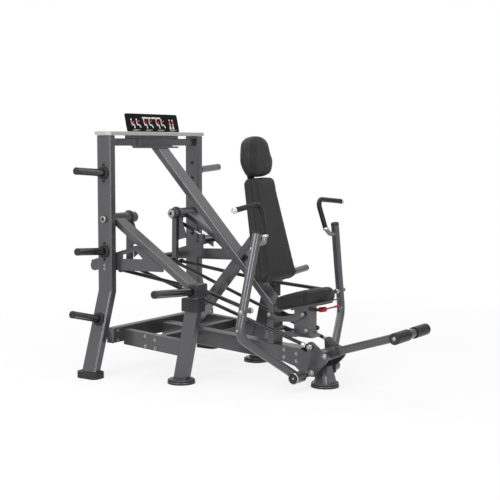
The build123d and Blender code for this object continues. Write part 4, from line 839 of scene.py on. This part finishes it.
HEADING_LEFT = -0.19
HEADING_UP = 0.27
HEADING_WORDS = (0.12, 0.055, 0.085, 0.1)
BAR_RADIUS = 0.042
FIGURES = (FIGURE_SEATED, FIGURE_REACHING) * 3 + (FIGURE_STANDING, FIGURE_STANDING)
FIGURE_SCALE = 0.47
FIGURE_BASE = -0.13
FIRST_PAIR = -0.355
PAIR_STEP = 0.237
PAIR_GAP = 0.094
STANDING_GAP = 0.62
BODY_RADIUS = 0.078
LIMB_RADIUS = 0.068
HEAD_RADIUS = 0.1
HEAD_WIDER = 0.01
CAPTION_LEFT = -0.40
CAPTION_ROWS = ((-0.395, 0.13), (-0.44, 0.09))
CAPTION_RADIUS = 0.0009


def print_board(sizes):
    """Broken heading bars, a row of plain exercise figures and short caption bars."""
    board, at = board_plane()
    low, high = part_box("instruction_panel")
    width, height = high.x - low.x, board.high - board.low
    white, red = bmesh.new(), bmesh.new()
    lift = sizes.ink
    bar = height * BAR_RADIUS
    cursor, level = HEADING_LEFT * width, HEADING_UP * height
    for word in HEADING_WORDS:
        capsule(white, at, (cursor, level), (cursor + word * width - 2.6 * bar, level), bar, lift)
        cursor += word * width
    scale = height * FIGURE_SCALE
    for k, figure in enumerate(FIGURES):
        gap = (k % 2 - 0.5) * PAIR_GAP * (STANDING_GAP if figure is FIGURE_STANDING else 1.0)
        centre = (FIRST_PAIR + PAIR_STEP * (k // 2) + gap) * width

        def spot(point):
            return centre + point[0] * scale, FIGURE_BASE * height + point[1] * scale

        for first, second in figure["body"]:
            capsule(white, at, spot(first), spot(second), BODY_RADIUS * scale, lift)
        for first, second in figure["limbs"]:
            capsule(red, at, spot(first), spot(second), LIMB_RADIUS * scale, lift * 2)
        across, up = spot(figure["head"])
        wider = HEAD_WIDER * scale
        capsule(white, at, (across - wider, up), (across + wider, up), HEAD_RADIUS * scale, lift)
    for k in range(len(FIGURES) // 2):
        left = (CAPTION_LEFT + PAIR_STEP * k) * width
        for row, share in CAPTION_ROWS:
            line = (left, row * height), (left + share * width, row * height)
            capsule(white, at, *line, CAPTION_RADIUS, lift)
    for name, shape, finish, slot in (("board_print_white", white, "print_white", "panel_face"),
                                      ("board_print_red", red, "print_red", "release_red")):
        add_piece(name, mesh_of(shape, name, False), finish, "frame")


# ------------------------------------------------------------------ sizes and colours
def length(label, about, default):
    """Property for a length in metres."""
    return bpy.props.FloatProperty(name=label, description=about, default=default, min=0.0, unit="LENGTH",
                                   precision=4)


def number(label, about, default):
    """Property for a plain number."""
    return bpy.props.FloatProperty(name=label, description=about, default=default, min=0.0)


def colour(label, about, default):
    """Property for a linear colour."""
    return bpy.props.FloatVectorProperty(name=label, description=about, default=default, size=3, min=0.0,
                                         max=1.0, subtype="COLOR")


def whole(label, about, default):
    """Property for a whole number."""
    return bpy.props.IntProperty(name=label, description=about, default=default, min=0)


def tilt(label, about, degrees):
    """Property for an angle."""
    default = math.radians(degrees)
    return bpy.props.FloatProperty(name=label, description=about, default=default, subtype="ANGLE")


class LEVERPRESS_Sizes(bpy.types.PropertyGroup):
    """Sizes of the upholstery, trim and small details."""

    voxel: length("Remesh step", "Size of the cover's mesh before it is inflated", 0.005)
    board_grip: length("Board grip", "Height over the board in which the cover is stapled down", 0.004)
    pressure: number("Foam pressure", "Push of the foam on its cover", 4.0)
    cloth_frames: whole("Cloth frames", "Length of the cloth run", 20)
    back_swell: length("Back swell", "Most that the back cushion swells", 0.007)
    head_swell: length("Head swell", "Most that the head cushion swells", 0.005)
    seat_swell: length("Seat swell", "Most that the seat cushion swells", 0.007)
    seam_depth: length("Seam depth", "How far a seam pulls the cover in", 0.0026)
    seam_width: length("Seam width", "Half width of the hollow beside a seam", 0.0036)
    welt_radius: length("Welt radius", "Radius of the piping in a seam", 0.0019)
    welt_step: length("Welt step", "Distance between the piping's rings", 0.006)
    stitch_length: length("Stitch length", "Length of one stitch and of the gap after it", 0.0042)
    stitch_offset: length("Stitch offset", "Distance from the seam to its row of stitches", 0.0065)
    thread_radius: length("Thread radius", "Radius of the sewing thread", 0.0006)
    grain_cells: number("Grain cells", "Pebbles of the vinyl's grain in one metre", 620.0)
    back_seam: number("Back seam", "Share of the back cushion's thickness that is side wall", 0.64)
    roll_radius: length("Rolled edge", "Radius of the back cushion's low front edge", 0.04)
    head_easing: whole("Head easing", "Rounds of smoothing on the head cushion", 160)
    head_fullness: number("Head fullness", "Width of the head cushion against its plain solid", 1.075)
    wing_flat: number("Wing start", "Share of the head's half width at which its sides are flattened", 0.93)
    wing_height: length("Wing height", "Half height of the hollow in the head's sides", 0.062)
    wing_depth: length("Wing depth", "Depth of the hollow in the head's sides", 0.007)
    seat_crown: length("Seat crown", "How far the middle of the seat is raised", 0.012)
    edge_radius: length("Edge radius", "Easing of painted edges", 0.0025)
    ink: length("Ink", "Thickness of the printed ink", 0.0003)
    # Colour that up-facing surfaces are lightened towards: a dusty film and painted light on their tops.
    dust_and_top_light_colour: colour("Dust", "Dust on surfaces that face up", (0.24, 0.22, 0.185))


class LEVERPRESS_Colours(bpy.types.PropertyGroup):
    """Colours of the finishes."""

    frame: colour("Frame", "Anthracite powder coat", (0.094, 0.092, 0.098))
    handle: colour("Handles", "Lighter grey coat on the bent handles", (0.205, 0.207, 0.217))
    top: colour("Top plate", "Silver coat on the top plate", (0.44, 0.42, 0.395))
    release: colour("Release lever", "Red coat on the seat's lever", (0.42, 0.008, 0.012))
    panel: colour("Board", "Black ground of the printed board", (0.013, 0.013, 0.014))
    rubber: colour("Rubber", "Feet, collars, caps and bumpers", (0.025, 0.025, 0.026))
    grip: colour("Grips", "Sleeves of the handles and rollers", (0.008, 0.008, 0.0085))
    chrome: colour("Chrome", "Rings and rod ends", (0.64, 0.635, 0.63))
    # Chrome made darker than the other chrome, as painted shade for the dark surroundings the horns reflect.
    horn: colour("Horns", "Hard chrome on the weight horns", (0.165, 0.16, 0.154))
    zinc: colour("Zinc", "Bolts and washers", (0.36, 0.348, 0.335))
    rod: colour("Rods", "Black gloss coat on the push rods", (0.009, 0.009, 0.01))
    upholstery: colour("Upholstery", "Charcoal vinyl", (0.011, 0.0107, 0.0103))
    thread: colour("Thread", "Sewing thread", (0.05, 0.05, 0.052))
    print_white: colour("Print white", "White ink on the board", (0.82, 0.81, 0.8))
    print_red: colour("Print red", "Red ink on the board", (0.62, 0.03, 0.025))


class LEVERPRESS_Stage(bpy.types.PropertyGroup):
    """Camera, floor and lamps."""

    eye: bpy.props.FloatVectorProperty(name="Camera place", description="Where the camera stands", size=3,
                                       default=(-6.027, -3.982, 1.576), subtype="TRANSLATION")
    heading: tilt("Heading", "Camera's turn from the depth axis to the width axis", 55.857)
    pitch: tilt("Pitch", "How far the camera looks down", 5.628)
    roll: tilt("Roll", "Camera's lean", 0.155)
    lens: number("Lens", "Focal length in millimetres", 78.2)
    floor_glow: number("Floor glow", "Share of the floor that stays white in shadow", 0.8)
    floor_near: length("Shadow reach", "Distance from the middle where the floor starts to whiten", 1.6)
    floor_far: length("White reach", "Distance from the middle from which the floor is white", 4.5)
    ambient: number("Ambient", "Even light from all round", 0.5)
    key_power: number("Key lamp", "Watts of the large lamp on the left", 175.0)
    strip_power: number("Strip lamp", "Watts of the tall narrow lamp at the left front", 115.0)
    rear_power: number("Rear lamp", "Watts of the lamp behind", 60.0)
    top_power: number("Top lamp", "Watts of the lamp above", 95.0)


# ------------------------------------------------------------------ operators
SLOT_FINISH = {"frame_bolts": "zinc", "storage_sleeves": "horn_chrome", "weight_horn_right": "horn_chrome",
               "weight_horn_left": "horn_chrome"}


class LEVERPRESS_OT_finishes(bpy.types.Operator):
    """Make the finishes and coat every CAD piece with its own."""

    bl_idname = "leverpress.finishes"
    bl_label = "Finishes"

    def execute(self, context):
        make_finishes(context.scene.leverpress_sizes, context.scene.leverpress_colours)
        for name, node in NODES.items():
            for entry in node.material_slots:
                slot = entry.material.name.split(".")[0]
                entry.material = finish_of(SLOT_FINISH.get(name, slot))
        return {"FINISHED"}


class LEVERPRESS_OT_back_cushion(bpy.types.Operator):
    """Back cushion: crowned, with its low edge rolled under."""

    bl_idname = "leverpress.back_cushion"
    bl_label = "Back cushion"

    def execute(self, context):
        sizes = context.scene.leverpress_sizes
        place = Cushion("back_pad", Vector((0, -1, 0)))
        seams = (place.thickness * sizes.back_seam, place.thickness * 0.09)
        cushion = make_cushion("back_cushion", place, rolled_end(place, sizes.roll_radius), sizes.back_swell,
                               seams, "frame", sizes)
        trim_cushion(cushion, place, seams, sizes, "frame")
        return {"FINISHED"}


class LEVERPRESS_OT_head_cushion(bpy.types.Operator):
    """Head cushion: egg-shaped, with a hollowed oval on each side."""

    bl_idname = "leverpress.head_cushion"
    bl_label = "Head cushion"

    def execute(self, context):
        sizes = context.scene.leverpress_sizes
        place = Cushion("head_pad", Vector((0, -1, 0)))
        seams = (place.thickness * 0.87, place.thickness * 0.1)
        cushion = make_cushion("head_cushion", place, winged_head(place, sizes), sizes.head_swell,
                               seams, "frame", sizes, sizes.head_easing)
        trim_cushion(cushion, place, seams, sizes, "frame")
        return {"FINISHED"}


class LEVERPRESS_OT_seat_cushion(bpy.types.Operator):
    """Seat cushion: crowned, on its carriage."""

    bl_idname = "leverpress.seat_cushion"
    bl_label = "Seat cushion"

    def execute(self, context):
        sizes = context.scene.leverpress_sizes
        place = Cushion("seat_pad", Vector((0, 0, 1)))
        seams = (place.thickness * 0.8, place.thickness * 0.12)
        cushion = make_cushion("seat_cushion", place, crowned_seat(place, sizes.seat_crown), sizes.seat_swell,
                               seams, "seat_carriage", sizes)
        trim_cushion(cushion, place, seams, sizes, "seat_carriage")
        return {"FINISHED"}


class LEVERPRESS_OT_board_print(bpy.types.Operator):
    """Plain figures and bars printed on the board above the frame."""

    bl_idname = "leverpress.board_print"
    bl_label = "Board print"

    def execute(self, context):
        print_board(context.scene.leverpress_sizes)
        return {"FINISHED"}


class LEVERPRESS_OT_hardware(bpy.types.Operator):
    """Bolts, screws, nuts, rings, roller caps and rod ends."""

    bl_idname = "leverpress.hardware"
    bl_label = "Hardware"

    def execute(self, context):
        fit_frame_hardware()
        fit_feet()
        fit_seat_hardware()
        fit_release_grip()
        fit_lever_hardware()
        for name, side in SIDES.items():
            fit_arm_hardware(name, side)
            fit_rod_end("press_" + name, side, PRESS_EYE, "press_rod_" + name)
            fit_rod_end("foot_" + name, side, FOOT_EYE, "foot_rod_" + name)
        return {"FINISHED"}


class LEVERPRESS_OT_stage(bpy.types.Operator):
    """Floor, soft lamps and the camera."""

    bl_idname = "leverpress.stage"
    bl_label = "Stage"

    def execute(self, context):
        build_stage(context.scene.leverpress_stage)
        return {"FINISHED"}


def lamp(name, place, size, power, tint):
    """Soft rectangular lamp aimed at the middle of the machine."""
    data = bpy.data.lights.new(name, "AREA")
    data.shape = "RECTANGLE"
    data.size, data.size_y = size
    data.energy = power
    data.color = tint
    made = bpy.data.objects.new(name, data)
    made.location = place
    made.rotation_euler = (Vector(LAMP_TARGET) - Vector(place)).to_track_quat("-Z", "Y").to_euler()
    bpy.context.scene.collection.objects.link(made)


def floor_material(settings):
    """Pale floor whose shadows stay light."""
    finish = Finish("studio_floor", {"Roughness": 0.9, "Specular IOR Level": 0.1})
    finish.feed("Base Color", finish.tint(finish.noise(3), (0.9, 0.9, 0.9), (0.93, 0.93, 0.93)))
    away = finish.node("ShaderNodeVectorMath", {"operation": "LENGTH"}, {0: finish.place}, "Value")
    glow = settings.floor_glow
    bright = away.above(settings.floor_near, settings.floor_far) * (1 - glow) + glow
    white = finish.node("ShaderNodeEmission")
    layers = {0: finish.seen_direct() * bright, 1: finish.shader, 2: white}
    return finish.done(finish.node("ShaderNodeMixShader", {}, layers))


def build_world(settings):
    """Even pale surroundings: white to the eye and in reflections, gentler as light."""
    world = bpy.data.worlds.new("studio")
    bpy.context.scene.world = world
    graph = Graph(world)
    white = (1, 1, 1, 1)
    gentle = graph.node("ShaderNodeBackground", {}, {"Color": white, "Strength": settings.ambient})
    plain = graph.node("ShaderNodeBackground", {}, {"Color": white})
    both = graph.node("ShaderNodeMixShader", {}, {0: graph.seen_direct(), 1: gentle, 2: plain})
    graph.node("ShaderNodeOutputWorld", {}, {"Surface": both})


CARDS = (
    ("right_card", (2.6, -3.4, 0.0), (0.0, 2.5, 0.0), (0.0, 0.0, 3.0)),
    ("rear_card", (2.6, 1.6, 0.6), (0.0, 2.6, 0.0), (0.0, 0.0, 2.2)),
)


def dark_card(name, corner, first, second):
    """Dark studio card that only reflections see, so that bright metal has something to contrast with."""
    shape = bmesh.new()
    corners = (corner, corner + first, corner + first + second, corner + second)
    shape.faces.new([shape.verts.new(point) for point in corners])
    mesh = mesh_of(shape, name, False)
    finish = Finish(name, {"Roughness": 1.0, "Specular IOR Level": 0.0})
    finish.feed("Base Color", finish.tint(finish.noise(5), (0.5, 0.485, 0.47), (0.6, 0.585, 0.57)))
    mesh.materials.append(finish.done())
    card = bpy.data.objects.new(name, mesh)
    card.visible_camera = False
    card.visible_diffuse = False
    card.visible_shadow = False
    bpy.context.scene.collection.objects.link(card)


LAMPS = (
    ("key_lamp", (-5.6, 0.6, 3.6), (3.0, 3.0), "key_power", (1.0, 0.99, 1.0)),
    ("strip_lamp", (-3.4, -5.2, 2.0), (0.4, 3.4), "strip_power", (0.9, 0.94, 1.0)),
    ("rear_lamp", (2.5, 5.2, 3.2), (3.0, 3.0), "rear_power", (0.95, 0.97, 1.0)),
    ("top_lamp", (0.0, 0.2, 5.4), (4.0, 4.0), "top_power", (1.0, 1.0, 1.0)),
)
LAMP_TARGET = (0, 0, 0.9)
FLOOR_REACH = 40.0


def build_stage(settings):
    """Floor, world, lamps, reflection cards and camera."""
    scene = bpy.context.scene
    scene.view_settings.view_transform = "Standard"
    shape = bmesh.new()
    corners = [(x * FLOOR_REACH, y * FLOOR_REACH, 0) for x, y in ((-1, -1), (1, -1), (1, 1), (-1, 1))]
    shape.faces.new([shape.verts.new(corner) for corner in corners])
    bmesh.ops.subdivide_edges(shape, edges=shape.edges[:], cuts=3, use_grid_fill=True)
    mesh = mesh_of(shape, "studio_floor", False)
    mesh.materials.append(floor_material(settings))
    floor = bpy.data.objects.new("studio_floor", mesh)
    scene.collection.objects.link(floor)
    build_world(settings)
    for name, place, size, power, tint in LAMPS:
        lamp(name, place, size, getattr(settings, power), tint)
    for name, corner, first, second in CARDS:
        dark_card(name, Vector(corner), Vector(first), Vector(second))
    place_camera(settings)


def place_camera(settings):
    """Camera at the view that shows the near side and the front."""
    scene = bpy.context.scene
    data = bpy.data.cameras.new("view")
    data.lens = settings.lens
    data.clip_end = 100
    camera = bpy.data.objects.new("view", data)
    camera.location = settings.eye
    turn = Matrix.Rotation(-settings.heading, 3, "Z")
    lean = Matrix.Rotation(math.pi / 2 - settings.pitch, 3, "X") @ Matrix.Rotation(settings.roll, 3, "Z")
    camera.rotation_euler = (turn @ lean).to_euler()
    scene.collection.objects.link(camera)
    scene.camera = camera


OPERATORS = (
    LEVERPRESS_OT_finishes,
    LEVERPRESS_OT_back_cushion,
    LEVERPRESS_OT_head_cushion,
    LEVERPRESS_OT_seat_cushion,
    LEVERPRESS_OT_board_print,
    LEVERPRESS_OT_hardware,
    LEVERPRESS_OT_stage,
)
GROUPS = {
    "leverpress_sizes": LEVERPRESS_Sizes,
    "leverpress_colours": LEVERPRESS_Colours,
    "leverpress_stage": LEVERPRESS_Stage,
}


class LEVERPRESS_PT_panel(bpy.types.Panel):
    """Sidebar panel with one button for each group of pieces."""

    bl_idname = "LEVERPRESS_PT_panel"
    bl_label = "Lever Press"
    bl_space_type = "VIEW_3D"
    bl_region_type = "UI"
    bl_category = "Lever Press"

    def draw(self, context):
        for operator in OPERATORS:
            self.layout.operator(operator.bl_idname)
        for name, group in GROUPS.items():
            box = self.layout.box()
            for entry in group.__annotations__:
                box.prop(getattr(context.scene, name), entry)


def register():
    """Make the settings, operators and panel known to Blender."""
    for group in (*GROUPS.values(), *OPERATORS, LEVERPRESS_PT_panel):
        bpy.utils.register_class(group)
    for name, group in GROUPS.items():
        setattr(bpy.types.Scene, name, bpy.props.PointerProperty(type=group))


def unregister():
    """Take them away again."""
    for name in GROUPS:
        delattr(bpy.types.Scene, name)
    for group in (LEVERPRESS_PT_panel, *reversed(OPERATORS), *GROUPS.values()):
        bpy.utils.unregister_class(group)


def main():
    """Build everything."""
    register()
    for operator in OPERATORS:
        family, action = operator.bl_idname.split(".")
        getattr(getattr(bpy.ops, family), action)()


if __name__ == "__main__":
    main()
